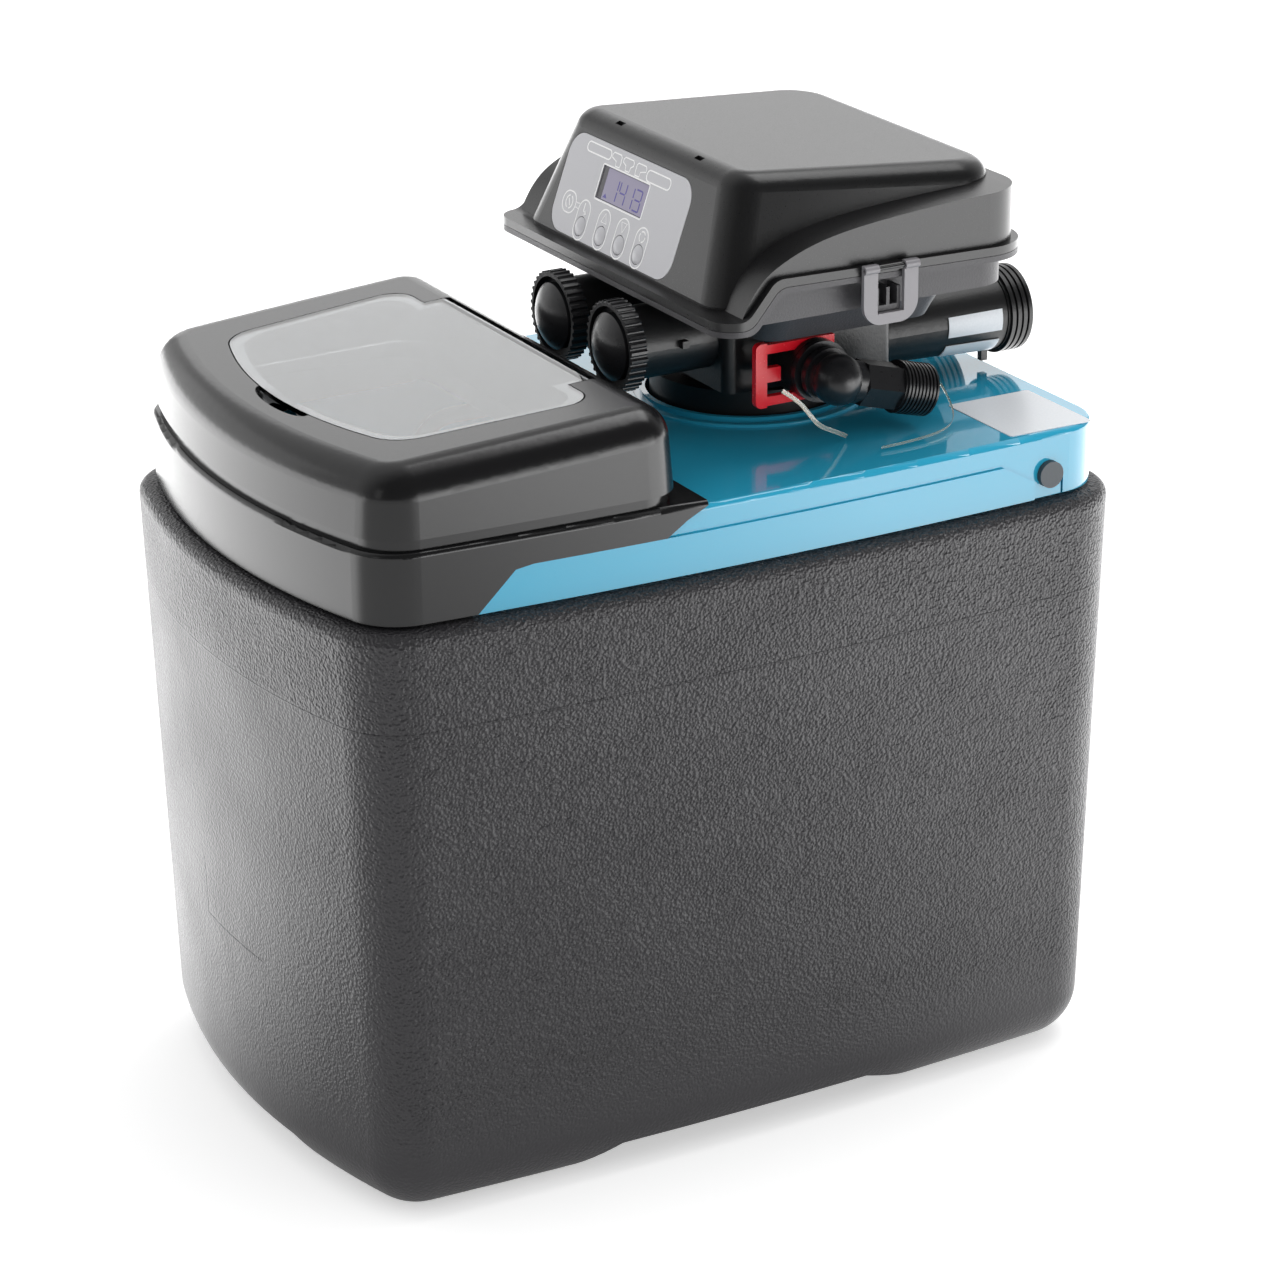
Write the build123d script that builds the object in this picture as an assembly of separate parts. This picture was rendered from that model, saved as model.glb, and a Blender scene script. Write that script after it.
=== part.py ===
from build123d import *
import os
from math import atan2, cos, degrees, pi, radians, sin, sqrt

# Cabinet water softener: a moulded salt cabinet with a resin tank in its rear half,
# a blue deck, a black hatch frame and lid, and a control valve on the tank's neck.
# Millimetres. +Z is up, the lid and the display face -Y, and the two ports face +Y.
# Lengths along y are counted from a plane just behind the middle; keep() moves each part so that
# the origin is the centre of the bounding box, at the floor.

# Driving sizes of the whole unit
cab_width = 327.0
cab_length = 484.0
cab_height = 337.0
middle_shift = 6.0
port_setback = 1.0
cab_wall = 4.0
cab_taper = 8.0
bow_front = 25.0
bow_side = 8.0
corner_r = 40.0
least_corner_r = 8.0

# Fits and clearances
run_fit = 0.08
seat_gap = 0.3
part_gap = 0.6
cut_over = 5.0

front_y = -cab_length / 2 - middle_shift
rear_y = front_y + cab_length
port_end_y = rear_y - port_setback

nodes = {}


def keep(name, shape):
    """Store one named sub-part, moved to the middle of the unit."""
    nodes[name] = Pos(0, middle_shift, 0) * shape


def plan(inset, height=0.0):
    """Bowed outline of the cabinet, moved inwards by inset and lifted to height."""
    half = cab_width / 2 - inset
    side = half - bow_side
    front = front_y + inset
    shoulder = front + bow_front
    rear = rear_y - inset
    bow = ThreePointArc((-side, shoulder), (0, front), (side, shoulder))
    right = ThreePointArc((side, shoulder), (half, (shoulder + rear) / 2), (side, rear))
    back = Line((side, rear), (-side, rear))
    left = ThreePointArc((-side, rear), (-half, (shoulder + rear) / 2), (-side, shoulder))
    face = make_face([bow, right, back, left])
    radius = max(corner_r - inset, least_corner_r)
    return Pos(0, 0, height) * fillet(face.vertices(), radius)


def between(inset_low, low, inset_high, high):
    """Solid between two cabinet outlines at two heights."""
    return loft([plan(inset_low, low), plan(inset_high, high)], ruled=True)


def tube(radius, bore, length):
    """Straight tube from z = 0 upwards."""
    return cylinder(radius, length) - Pos(0, 0, -cut_over) * cylinder(bore, length + 2 * cut_over)


def cylinder(radius, length):
    """Cylinder standing on z = 0."""
    return extrude(Circle(radius), length)


def block(size_x, size_y, size_z):
    """Block standing on z = 0, centred in x and y."""
    return extrude(Rectangle(size_x, size_y), size_z)


def rounded_block(size_x, size_y, size_z, radius):
    """Block standing on z = 0 with rounded upright corners."""
    return extrude(RectangleRounded(size_x, size_y, radius), size_z)


def side_prism(points, half_width):
    """Prism across the whole width whose profile is given as (y, z) points."""
    face = make_face(Polyline([(0, y, z) for y, z in points], close=True))
    return extrude(face, half_width, dir=(1, 0, 0), both=True)


def along_y(shape):
    """Turn a shape built along +z so that it runs along +y."""
    return Rot(-90, 0, 0) * shape


def along_x(shape):
    """Turn a shape built along +z so that it runs along +x."""
    return Rot(0, 90, 0) * shape


# Cabinet: one blow-moulded tub with a rolled lip, standing on four corner feet.
foot_height = 17.0
foot_round = 31.0
foot_inner_round = 11.0
foot_front_run = 130.0
foot_rear_run = 119.0
foot_slope = 34.0
foot_rear_slope = 46.0
foot_side_run = 73.0
foot_side_slope = 38.0
floor_wall = 4.0
lip_round = 7.0
lip_width = 20.0
lip_wall = 4.0
floor_z = foot_height + floor_wall


def cabinet():
    low = cab_taper
    body = between(low, 0, 0, cab_height)
    bottom = body.faces().sort_by(Axis.Z)[0]
    body = fillet(bottom.edges(), foot_round)
    top = body.faces().sort_by(Axis.Z)[-1]
    body = fillet(top.edges(), lip_round)
    hollow_low = cab_taper * (1 - floor_z / cab_height) + cab_wall
    hollow_top = cab_height - lip_wall
    hollow = between(hollow_low, floor_z, cab_wall, hollow_top)
    body -= fillet(hollow.faces().sort_by(Axis.Z)[0].edges(), foot_inner_round)
    body -= extrude(plan(lip_width, hollow_top - cut_over), lip_wall + 2 * cut_over)
    y1 = front_y + foot_front_run
    y2 = rear_y - foot_rear_run
    side_gap = [(y1, -cut_over), (y1, 0), (y1 + foot_slope, foot_height)]
    side_gap += [(y2 - foot_rear_slope, foot_height), (y2, 0), (y2, -cut_over)]
    body -= side_prism(side_gap, cab_width)
    x1 = cab_width / 2 - foot_side_run
    front_gap = [(-x1, -cut_over), (-x1, 0), (-x1 + foot_side_slope, foot_height)]
    front_gap += [(x1 - foot_side_slope, foot_height), (x1, 0), (x1, -cut_over)]
    body -= extrude(make_face(Polyline([(x, 0, z) for x, z in front_gap], close=True)),
                    cab_length, dir=(0, 1, 0), both=True)
    return body


keep("cabinet", cabinet())


# Cover outline: deck and hatch frame share one moulded outline that stands on the cabinet's lip.
cover_inset = 8.4
cover_gap = 2.0
cover_wall = 3.0
cover_round = 3.0
cover_low = cab_height + cover_gap
rest_inset = 14.0
locate_play = 0.8
locate_depth = 10.0
flange_wall = 3.0


def cover_shell(inset, top):
    """Open-bottomed cover with a rest ring on the lip and a locating skirt inside it."""
    outer = extrude(plan(inset, cover_low), top - cover_low)
    outer = fillet(outer.faces().sort_by(Axis.Z)[-1].edges(), cover_round)
    hollow = plan(inset + cover_wall, cover_low - cut_over)
    outer -= extrude(hollow, top - cover_wall - cover_low + cut_over)
    locate_inset = lip_width + locate_play
    inner_inset = locate_inset + cover_wall
    flange = extrude(plan(inset + cover_wall / 2, cover_low), flange_wall)
    flange -= extrude(plan(inner_inset, cover_low - cut_over), flange_wall + 2 * cut_over)
    rest = extrude(plan(rest_inset, cab_height), cover_gap)
    rest -= extrude(plan(rest_inset + cover_wall, cab_height - cut_over), cover_gap + 2 * cut_over)
    skirt_low = cab_height - locate_depth
    skirt = extrude(plan(locate_inset, skirt_low), top - cover_wall / 2 - skirt_low)
    skirt -= extrude(plan(inner_inset, skirt_low - cut_over), top - skirt_low + 2 * cut_over)
    return outer + flange + rest + skirt


# Line between the blue deck and the black hatch frame, drawn on the side walls.
deck_top = 375.0
frame_top = 377.5
split_top_y = -32.0
split_step_y = -44.0
split_step_z = 369.0
wing_z = 361.0
wing_rear_y = -56.0
wing_front_y = -132.0
wing_round_y = -142.0
wing_round_drop = 1.5
wing_tip_y = -163.0


def frame_region():
    """Everything forward of the split line and above the deck's side wings."""
    far_y = front_y - cut_over
    high = frame_top + 2 * cut_over
    low = cab_height - locate_depth - cut_over
    points = [(split_top_y, high), (split_top_y, deck_top), (split_step_y, split_step_z),
              (wing_rear_y, wing_z), (wing_front_y, wing_z),
              (wing_round_y, wing_z - wing_round_drop), (wing_tip_y, cover_low),
              (wing_tip_y, low), (far_y, low), (far_y, high)]
    return side_prism(points, cab_width)


# Deck: glossy blue moulding over the tank, with a collar and a raised ring round its neck.
tank_back = 154.0
tank_y = rear_y - tank_back
wing_proud = 1.5
wing_end_y = 153.0
wing_end_run = 21.0
neck_hole_r = 56.5
collar_wall = 3.0
collar_rise = 3.0
ring_r = 68.0
ring_width = 5.0
ring_rise = 1.6
plug_r = 7.5
plug_y = 184.0
plug_z = 352.0
plug_head = 2.0
plug_lip = 1.2
plug_slot = 1.5
plug_slot_back = 9.5
tube_hole_r = 7.0
tube_x = -100.0


def deck():
    body = cover_shell(cover_inset + wing_proud, deck_top)
    wing = extrude(plan(cover_inset, cover_low), wing_z - cover_low)
    wing -= extrude(plan(cover_inset + cover_wall, cover_low - cut_over), wing_z)
    end_low = wing_end_y + wing_end_run
    keep_zone = [(wing_tip_y, cover_low - cut_over), (wing_tip_y, wing_z), (wing_end_y, wing_z),
                 (end_low, cover_low + wing_end_run / 2), (end_low, cover_low - cut_over)]
    body += wing & side_prism(keep_zone, cab_width)
    body -= frame_region()
    centre = Pos(0, tank_y, deck_top - collar_wall)
    body += centre * tube(neck_hole_r + collar_wall, neck_hole_r, collar_rise + collar_wall)
    ring = tube(ring_r, ring_r - ring_width, ring_rise)
    ring = fillet(ring.faces().sort_by(Axis.Z)[-1].edges(), ring_rise / 2)
    body += Pos(0, tank_y, deck_top) * ring
    body -= Pos(0, tank_y, cover_low) * cylinder(neck_hole_r, deck_top)
    body -= Pos(tube_x, tank_y, cover_low) * cylinder(tube_hole_r, deck_top)
    body -= Pos(-cab_width / 2, plug_y, plug_z) * along_x(cylinder(plug_r, cab_width))
    slot_y = plug_y + plug_slot_back
    slot = Pos(0, slot_y, cab_height - cut_over) * block(cab_width, plug_slot, plug_z - cab_height + cut_over)
    core_half = cab_width / 2 - cover_inset - bow_side - 2 * cover_wall
    slot -= Pos(0, slot_y, cab_height - locate_depth) * block(2 * core_half, 2 * cut_over, deck_top)
    return body - slot


def side_x(y, inset):
    """Half-width of the bowed outline at a given y."""
    middle = (front_y + bow_front + rear_y) / 2
    reach = (rear_y - front_y - bow_front) / 2
    return cab_width / 2 - inset - bow_side * ((y - middle) / reach) ** 2


keep("deck", deck())


# Plugs: grey blanking plugs in the two overflow holes of the deck's sides.
def deck_plug(side):
    face_x = side_x(plug_y, cover_inset + wing_proud)
    stem = cylinder(plug_r - run_fit, cover_wall + 2 * plug_head)
    head = Pos(0, 0, -plug_lip) * cylinder(plug_r - run_fit, plug_lip)
    plug = Pos(0, 0, -cover_wall - plug_head) * stem + head
    plug = Pos(face_x + plug_lip, plug_y, plug_z) * along_x(plug)
    return plug if side > 0 else mirror(plug, Plane.YZ)


keep("deck_plugs", Compound([deck_plug(1), deck_plug(-1)]))


# Lid outline: it follows the cover's front and sides and is cut square at the rear.
lid_rear_y = -42.0
lid_rear_round = 22.0
lid_draft = 3.0
lid_base = 383.3
lid_top = 428.0
lid_tilt = 3.7
lid_inset = 10.6
lid_wall = 2.6
lid_edge_round = 18.0
lid_inner_round = 15.0


def lid_plan(inset, height, rear_y_here):
    """Outline of the lid at one height."""
    front = front_y + inset
    shoulder = front + bow_front
    side_front = side_x(shoulder, inset)
    side_rear = side_x(rear_y_here, inset)
    mid_y = (shoulder + rear_y_here) / 2
    side_mid = side_x(mid_y, inset)
    bow = ThreePointArc((-side_front, shoulder), (0, front), (side_front, shoulder))
    right = ThreePointArc((side_front, shoulder), (side_mid, mid_y), (side_rear, rear_y_here))
    back = Line((side_rear, rear_y_here), (-side_rear, rear_y_here))
    left = ThreePointArc((-side_rear, rear_y_here), (-side_mid, mid_y), (-side_front, shoulder))
    face = make_face([bow, right, back, left])
    corners = face.vertices().sort_by(Axis.Y)
    face = fillet(corners[:2], max(corner_r - inset, least_corner_r))
    rear_round = max(lid_rear_round - (inset - lid_inset) / 2, least_corner_r)
    face = fillet(face.vertices().sort_by(Axis.Y)[-2:], rear_round)
    return Pos(0, 0, height) * face


# Hatch frame: black moulding under the lid, with the salt opening and its coaming.
hatch_half = 116.0
hatch_front_inset = 36.0
hatch_rear_y = -66.0
hatch_round = 26.0
coaming_wall = 2.5
coaming_rise = 9.0
plinth_inset = 12.4


def hatch_frame():
    body = cover_shell(cover_inset, frame_top) & frame_region()
    plinth_rear = lid_rear_y - (plinth_inset - lid_inset)
    body += extrude(lid_plan(plinth_inset, frame_top - cover_wall, plinth_rear),
                    lid_base - seat_gap - frame_top + cover_wall)
    hatch_front = front_y + hatch_front_inset
    hatch_length = hatch_rear_y - hatch_front
    hatch = Pos(0, (hatch_front + hatch_rear_y) / 2, 0)
    rim = rounded_block(2 * (hatch_half + coaming_wall), hatch_length + 2 * coaming_wall,
                        coaming_rise + cover_wall, hatch_round + coaming_wall)
    body += hatch * Pos(0, 0, frame_top - cover_wall) * rim
    body -= hatch * Pos(0, 0, cab_height) * rounded_block(2 * hatch_half, hatch_length, cab_height, hatch_round)
    return body


keep("hatch_frame", hatch_frame())


# Window outline, shared by the recess in the lid and by the clear flap.
win_rear_half = 113.0
win_rear_y = -75.0
win_tongue_half = 84.0
win_front_half = 104.5
win_front_y = -184.0
win_bow = 20.0
win_front_round = 24.0
win_rear_round = 14.0
win_gap = 0.7
flap_wall = 3.0
ledge = 6.0
hinge_y = -62.5
hinge_drop = 2.9
barrel_r = 2.6
pin_r = 1.4
pin_length = 16.0
hinge_back_gap = 1.6
boss_width = 9.0
boss_depth = 7.0
hinge_z = lid_top - hinge_drop


def window_plan(offset, tongue_back):
    """Outline of the window, grown by offset, with its hinge tongue."""
    back = win_rear_y + offset
    corner = win_rear_half + offset
    front_corner = win_front_half + offset
    front = win_front_y - offset
    sides = [Line((corner, back), (front_corner, front)), Line((-front_corner, front), (-corner, back))]
    bow = ThreePointArc((front_corner, front), (0, front - win_bow), (-front_corner, front))
    face = make_face([sides[0], bow, sides[1], Line((-corner, back), (corner, back))])
    face = fillet(face.vertices().sort_by(Axis.Y)[:2], win_front_round)
    face = fillet(face.vertices().sort_by(Axis.Y)[-2:], win_rear_round)
    tongue_half = win_tongue_half + offset
    tongue = Rectangle(2 * tongue_half, tongue_back - back + ledge)
    return face + Pos(0, (tongue_back + back - ledge) / 2, 0) * tongue


# Lid: black shell over the salt, with the window's recess and a finger scoop at its front edge.
scoop_x = 10.0
scoop_width = 58.0
scoop_depth = 8.0
scoop_drop = 7.0


def tilted(shape):
    """Turn a shape drawn level with the window's hinge so that it lies in the lid's sloping top."""
    return Pos(0, hinge_y, hinge_z) * Rot(lid_tilt, 0, 0) * Pos(0, -hinge_y, -hinge_z) * shape


def lid_form(inset, drop, edge_round):
    """Lid's outer form moved inwards by inset, with its top lowered by drop and its edges rounded."""
    high = lid_top + lid_edge_round
    lean = lid_draft * (high - lid_base) / (lid_top - lid_base)
    rear = lid_rear_y - (inset - lid_inset)
    body = loft([lid_plan(inset, lid_base, rear), lid_plan(inset + lean, high, rear - lean)], ruled=True)
    body -= tilted(Pos(0, 0, lid_top - drop) * block(2 * cab_width, 2 * cab_length, lid_top))
    return fillet(body.faces().sort_by(Axis.Z)[-1].edges(), edge_round)


def salt_lid():
    body = lid_form(lid_inset, 0, lid_edge_round)
    inner_inset = lid_inset + lid_wall
    inner = lid_form(inner_inset, lid_wall, lid_inner_round)
    body -= inner + extrude(lid_plan(inner_inset, lid_base - cut_over, lid_rear_y - lid_wall), cut_over)
    recess_z = lid_top - flap_wall - seat_gap
    rim_z = recess_z - lid_wall
    recess_back = hinge_y + barrel_r + hinge_back_gap
    body += tilted(extrude(Pos(0, 0, rim_z) * window_plan(lid_wall, recess_back + lid_wall), recess_z - rim_z + seat_gap))
    body -= tilted(extrude(Pos(0, 0, recess_z) * window_plan(win_gap, recess_back), flap_wall + cut_over))
    body -= tilted(extrude(Pos(0, 0, rim_z - cut_over) * window_plan(-ledge, recess_back - ledge), lid_top))
    boss_x = win_tongue_half + win_gap + boss_width / 2
    for side in (-1, 1):
        boss = block(boss_width, boss_depth, lid_top - lid_wall / 2 - rim_z)
        body += tilted(Pos(side * boss_x, hinge_y, rim_z) * boss)
    gutter_z = hinge_z - barrel_r - part_gap
    gutter = block(2 * (win_tongue_half + win_gap), 2 * (barrel_r + hinge_back_gap), lid_top)
    body -= tilted(Pos(0, hinge_y, gutter_z) * gutter)
    pin_bore = Pos(-cab_width / 2, hinge_y, hinge_z) * along_x(cylinder(pin_r, cab_width))
    body -= pin_bore & block(2 * (win_tongue_half + pin_length), cab_length, 2 * lid_top)
    scoop_y = win_front_y - win_bow * (1 - (scoop_x / win_front_half) ** 2)
    scoop = scale(Sphere(1), by=(scoop_width / 2, scoop_depth, scoop_drop))
    return body - tilted(Pos(scoop_x, scoop_y, lid_top) * scoop)


keep("salt_lid", salt_lid())


# Window: clear hinged flap with a barrel along its rear edge, on two short steel pins.


def lid_window():
    flap = extrude(Pos(0, 0, lid_top - flap_wall) * window_plan(0, hinge_y), flap_wall)
    half = win_tongue_half
    barrel = Pos(-half, hinge_y, hinge_z) * along_x(cylinder(barrel_r, 2 * half))
    trim = Pos(0, hinge_y + cut_over, lid_top - 2 * flap_wall) * block(2 * cab_width, 2 * cut_over, 4 * flap_wall)
    flap = flap - trim + barrel
    return tilted(flap - Pos(-half, hinge_y, hinge_z) * along_x(cylinder(pin_r + run_fit, 2 * half)))


def hinge_pin(side):
    start = win_tongue_half + win_gap + boss_width - pin_length
    pin = Pos(start, hinge_y, hinge_z) * along_x(cylinder(pin_r, pin_length))
    return pin if side > 0 else mirror(pin, Plane.YZ)


keep("lid_window", lid_window())
keep("window_hinge_pins", Compound([hinge_pin(1), hinge_pin(-1)]))


# Resin tank: fibreglass pressure tank standing behind the salt, on its own base ring.
tank_r = 128.0
tank_wall = 3.5
tank_shoulder_z = 300.0
tank_foot_round = 45.0
tank_shoulder_round = 75.0
neck_r = 38.0
neck_bore_r = 32.0
neck_top = 386.0
base_plate = 4.0
base_ring_r = 122.0
base_ring_height = 30.0
tank_low = floor_z + base_plate


def tank_form(offset, low):
    """Rounded drum of the tank, grown by offset at its sides and shoulder."""
    high = tank_shoulder_z + offset
    drum = Pos(0, tank_y, low) * cylinder(tank_r + offset, high - low)
    drum = fillet(drum.faces().sort_by(Axis.Z)[-1].edges(), tank_shoulder_round + offset)
    return fillet(drum.faces().sort_by(Axis.Z)[0].edges(), tank_foot_round + offset)


def resin_tank():
    neck_low = tank_shoulder_z - tank_wall
    body = tank_form(0, tank_low)
    body += Pos(0, tank_y, neck_low) * cylinder(neck_r, neck_top - neck_low)
    body -= tank_form(-tank_wall, tank_low + tank_wall)
    return body - Pos(0, tank_y, neck_low - cut_over) * cylinder(neck_bore_r, neck_top - neck_low + 2 * cut_over)


def tank_base():
    ring = Pos(0, tank_y, floor_z) * cylinder(base_ring_r, base_ring_height)
    return ring - tank_form(part_gap, tank_low)


keep("resin_tank", resin_tank())
keep("tank_base", tank_base())


# Inside the tank: riser tube, slotted strainers and the bed of resin beads.
riser_r = 13.4
riser_bore_r = 12.0
riser_low = 36.0
riser_top = 398.0
basket_r = 29.0
basket_wall = 2.5
bottom_basket_height = 30.0
top_basket_low = 340.0
top_basket_high = 370.0
slot_count = 16
slot_width = 2.0
slot_margin = 6.0
bed_top = 205.0


def basket(low, high, floor_at_low, floor_at_high):
    """Strainer drum with vertical slots round its wall."""
    height = high - low
    drum = tube(basket_r, basket_r - basket_wall, height)
    if floor_at_low:
        drum += cylinder(basket_r, basket_wall)
    if floor_at_high:
        drum += Pos(0, 0, height - basket_wall) * tube(basket_r, riser_r + run_fit, basket_wall)
    cutter = Pos(basket_r, 0, slot_margin) * block(2 * basket_r, slot_width, height - 2 * slot_margin)
    for number in range(slot_count):
        drum -= Rot(0, 0, 360 * number / slot_count) * cutter
    return Pos(0, tank_y, low) * drum


def resin_bed():
    low = tank_low + tank_wall + seat_gap
    bed_r = tank_r - tank_wall - seat_gap
    bed = Pos(0, tank_y, low) * cylinder(bed_r, bed_top - low)
    bed = fillet(bed.faces().sort_by(Axis.Z)[0].edges(), tank_foot_round - tank_wall - seat_gap)
    basket_high = tank_low + tank_wall + bottom_basket_height
    bed -= Pos(0, tank_y, 0) * cylinder(basket_r + seat_gap, basket_high + seat_gap)
    return bed - Pos(0, tank_y, 0) * cylinder(riser_r + seat_gap, bed_top + cut_over)


keep("riser_tube", Pos(0, tank_y, riser_low) * tube(riser_r, riser_bore_r, riser_top - riser_low))
basket_low = tank_low + tank_wall
keep("bottom_basket", basket(basket_low, basket_low + bottom_basket_height, True, True))
keep("top_basket", basket(top_basket_low, top_basket_high, False, True))
keep("resin_bed", resin_bed())


# Brine well: tall perforated tube in the salt space, with its cap.
well_r = 42.0
well_wall = 2.5
well_x = -98.0
well_y = -76.0
well_top = 322.0
well_hole_r = 3.0
well_hole_rows = 4
well_hole_ring = 8
well_hole_low = 30.0
well_hole_pitch = 16.0
cap_skirt = 12.0
cap_top = 3.0


def brine_well():
    height = well_top - floor_z
    body = tube(well_r, well_r - well_wall, height)
    hole = along_x(cylinder(well_hole_r, 2 * well_r))
    for row in range(well_hole_rows):
        for number in range(well_hole_ring):
            angle = 360 * (number + row % 2 / 2) / well_hole_ring
            body -= Pos(0, 0, well_hole_low + row * well_hole_pitch) * Rot(0, 0, angle) * hole
    return Pos(well_x, well_y, floor_z) * body


def well_cap():
    body = cylinder(well_r + seat_gap + cap_top, cap_skirt + cap_top)
    body -= cylinder(well_r + seat_gap, cap_skirt)
    body -= Pos(0, 0, -cut_over) * cylinder(brine_tube_r + part_gap, 2 * cap_skirt + cut_over)
    return Pos(well_x, well_y, well_top - cap_skirt) * body


# Brine pickup: screened air check at the foot, pickup pipe and the float-operated safety valve.
brine_tube_r = 4.75
brine_tube_bore_r = 3.2
check_r = 11.0
check_height = 60.0
check_low_gap = 6.0
check_slot_height = 24.0
check_bore_r = 9.0
safety_low = 246.0
safety_seat = 12.0
safety_size = 34.0
safety_height = 44.0
pickup_r = 6.0
pickup_bore_r = 4.5
rod_r = 2.5
rod_off = 24.0
rod_low = 96.0
rod_top = 300.0
float_r = 14.0
float_height = 46.0
float_low = 120.0
float_travel = 20.0
arm_width = 10.0
arm_height = 8.0


def air_check():
    body = cylinder(check_r, check_height)
    body -= Pos(0, 0, check_low_gap) * cylinder(check_bore_r, check_height - 2 * check_low_gap)
    body -= Pos(0, 0, check_height - check_low_gap - cut_over) * cylinder(pickup_bore_r, 2 * check_low_gap)
    cutter = Pos(check_r, 0, check_low_gap) * block(2 * check_r, slot_width, check_slot_height)
    for number in range(well_hole_ring):
        body -= Rot(0, 0, 360 * number / well_hole_ring) * cutter
    return Pos(well_x, well_y, floor_z) * body


def pickup_tube():
    low = floor_z + check_height
    return Pos(well_x, well_y, low) * tube(pickup_r, pickup_bore_r, safety_low - low)


def safety_valve():
    body = rounded_block(safety_size, safety_size, safety_height, check_low_gap)
    body += Pos(0, rod_off / 2, safety_height / 2) * block(arm_width, rod_off + arm_width, arm_height)
    body -= Pos(0, rod_off, 0) * cylinder(rod_r + run_fit, safety_height)
    body -= Pos(0, 0, -cut_over) * cylinder(pickup_bore_r, safety_height / 2)
    body -= Pos(0, 0, safety_height / 2 - cut_over) * cylinder(brine_tube_bore_r, safety_height)
    body -= Pos(0, 0, safety_height - safety_seat) * cylinder(brine_tube_r + seat_gap, safety_height)
    return Pos(well_x, well_y, safety_low) * body


def float_on_rod():
    body = tube(float_r, rod_r + seat_gap, float_height)
    outer = body.edges().filter_by(GeomType.CIRCLE).filter_by(lambda e: e.radius > float_r - part_gap)
    body = fillet(outer, rod_r)
    return Pos(well_x, well_y + rod_off, float_low) * body


def float_rod():
    rod = Pos(0, 0, rod_low) * cylinder(rod_r, rod_top - rod_low)
    for stop_z in (float_low - rod_r, float_low + float_height + float_travel):
        rod += Pos(0, 0, stop_z) * cylinder(2 * rod_r, rod_r)
    return Pos(well_x, well_y + rod_off, 0) * rod


keep("brine_well", brine_well())
keep("well_cap", well_cap())
keep("air_check", air_check())
keep("pickup_tube", pickup_tube())
keep("safety_valve", safety_valve())
keep("float", float_on_rod())
keep("float_rod", float_rod())


# Salt grid: perforated platform that holds the salt above the brine.
grid_z = 62.0
grid_wall = 4.0
grid_rear_y = -48.0
grid_side_gap = 3.0
grid_hole_r = 4.0
grid_pitch = 24.0
grid_columns = 9
grid_rows = 6
grid_front_y = -196.0
leg_r = 9.0
leg_wall = 2.0
leg_spots = [(-110.0, -180.0), (110.0, -180.0), (115.0, -80.0), (0.0, -120.0)]
draft_share = 0.5


def salt_grid():
    low_inset = cab_wall + grid_side_gap + cab_taper
    plate = extrude(plan(low_inset, grid_z), grid_wall)
    rear_cut = Pos(0, grid_rear_y + cab_length / 2, grid_z - cut_over) * block(cab_width, cab_length, 2 * grid_pitch)
    plate -= rear_cut
    hole = cylinder(grid_hole_r, 2 * grid_pitch)
    for row in range(grid_rows):
        for column in range(grid_columns):
            hole_x = (column - (grid_columns - 1) / 2) * grid_pitch + (row % 2 - draft_share) * grid_pitch / 2
            plate -= Pos(hole_x, grid_front_y + row * grid_pitch, grid_z - cut_over) * hole
    for leg_x, leg_y in leg_spots:
        plate += Pos(leg_x, leg_y, floor_z) * cylinder(leg_r, grid_z - floor_z + grid_wall / 2)
        plate -= Pos(leg_x, leg_y, floor_z - cut_over) * cylinder(leg_r - leg_wall, grid_z - floor_z + cut_over)
    plate -= Pos(0, tank_y, 0) * cylinder(tank_r + grid_side_gap, cab_height)
    return plate - Pos(well_x, well_y, 0) * cylinder(well_r + part_gap, cab_height)


keep("salt_grid", salt_grid())


# Valve body: one black moulding screwed on the tank's neck; knobs in front, two ports at the rear.
port_x = 32.4
port_z = 408.0
port_bore_r = 14.0
port_stop_y = 70.0
pipe_front_y = 100.0
pipe_front_r = 18.0
pipe_rear_r = 22.0
thread_r = 24.5
thread_root_r = 22.8
thread_length = 15.0
thread_rings = 4
thread_land_share = 0.62
socket_r = 16.0
socket_depth = 25.0
body_flange_r = 54.0
body_flange_low = 371.0
body_flange_high = 391.0
column_r = 43.0
block_low = 396.0
block_front_y = 34.0
shoulder_z = 434.0
shoulder_half = 60.0
shoulder_rear_y = 140.0
block_half = 52.0
upper_front_y = 36.0
upper_rear_y = 132.0
block_top = 446.0
block_round = 6.0
seal_wall = 3.2
seal_height = 4.0
seal_low = 377.0

# Bypass barrels in front of the block, each holding a rotor.
barrel_z = 425.0
barrel_r_out = 20.0
barrel_front_y = -11.2
rotor_bore_r = 14.0
rotor_end_y = 62.0
passage_r = 7.0
passage_y = 48.0
barrel_lug = 4.0

# Drain side: a short boss to the right that takes the elbow and its red clip.
drain_y = 79.0
drain_z = 409.0
boss_r = 17.0
boss_end_x = 80.0
spigot_r = 13.2
spigot_groove_r = 11.7
spigot_start_x = 58.0
clip_x = 74.0
clip_wall = 4.0
prong_wall = 5.0
drain_bore_r = 8.0

# Brine side, injector and the piston's bore.
brine_z = 405.0
brine_boss_r = 9.0
brine_boss_x = 74.0
brine_socket = 12.0
piston_bore_r = 17.0
piston_bore_low = 399.0
injector_y = 112.0
injector_z = 420.0
injector_r = 5.7
injector_length = 22.0
injector_cap_r = 9.0
injector_cap_wall = 4.0
screw_r = 2.0
screw_depth = 9.0
screw_head_r = 3.6
screw_head = 2.2
screw_x = 56.0
screw_front_y = 46.0
screw_rear_y = 128.0
screw_spots = [(side * screw_x, y) for side in (-1, 1) for y in (screw_front_y, screw_rear_y)]
stop_lug = 4.0
stop_lug_y = 218.0
stop_lug_drop = 7.0


def block_between(half, y0, y1, z0, z1, radius):
    """Rounded upright block between two y values and two heights."""
    return Pos(0, (y0 + y1) / 2, z0) * rounded_block(2 * half, y1 - y0, z1 - z0, radius)


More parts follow.
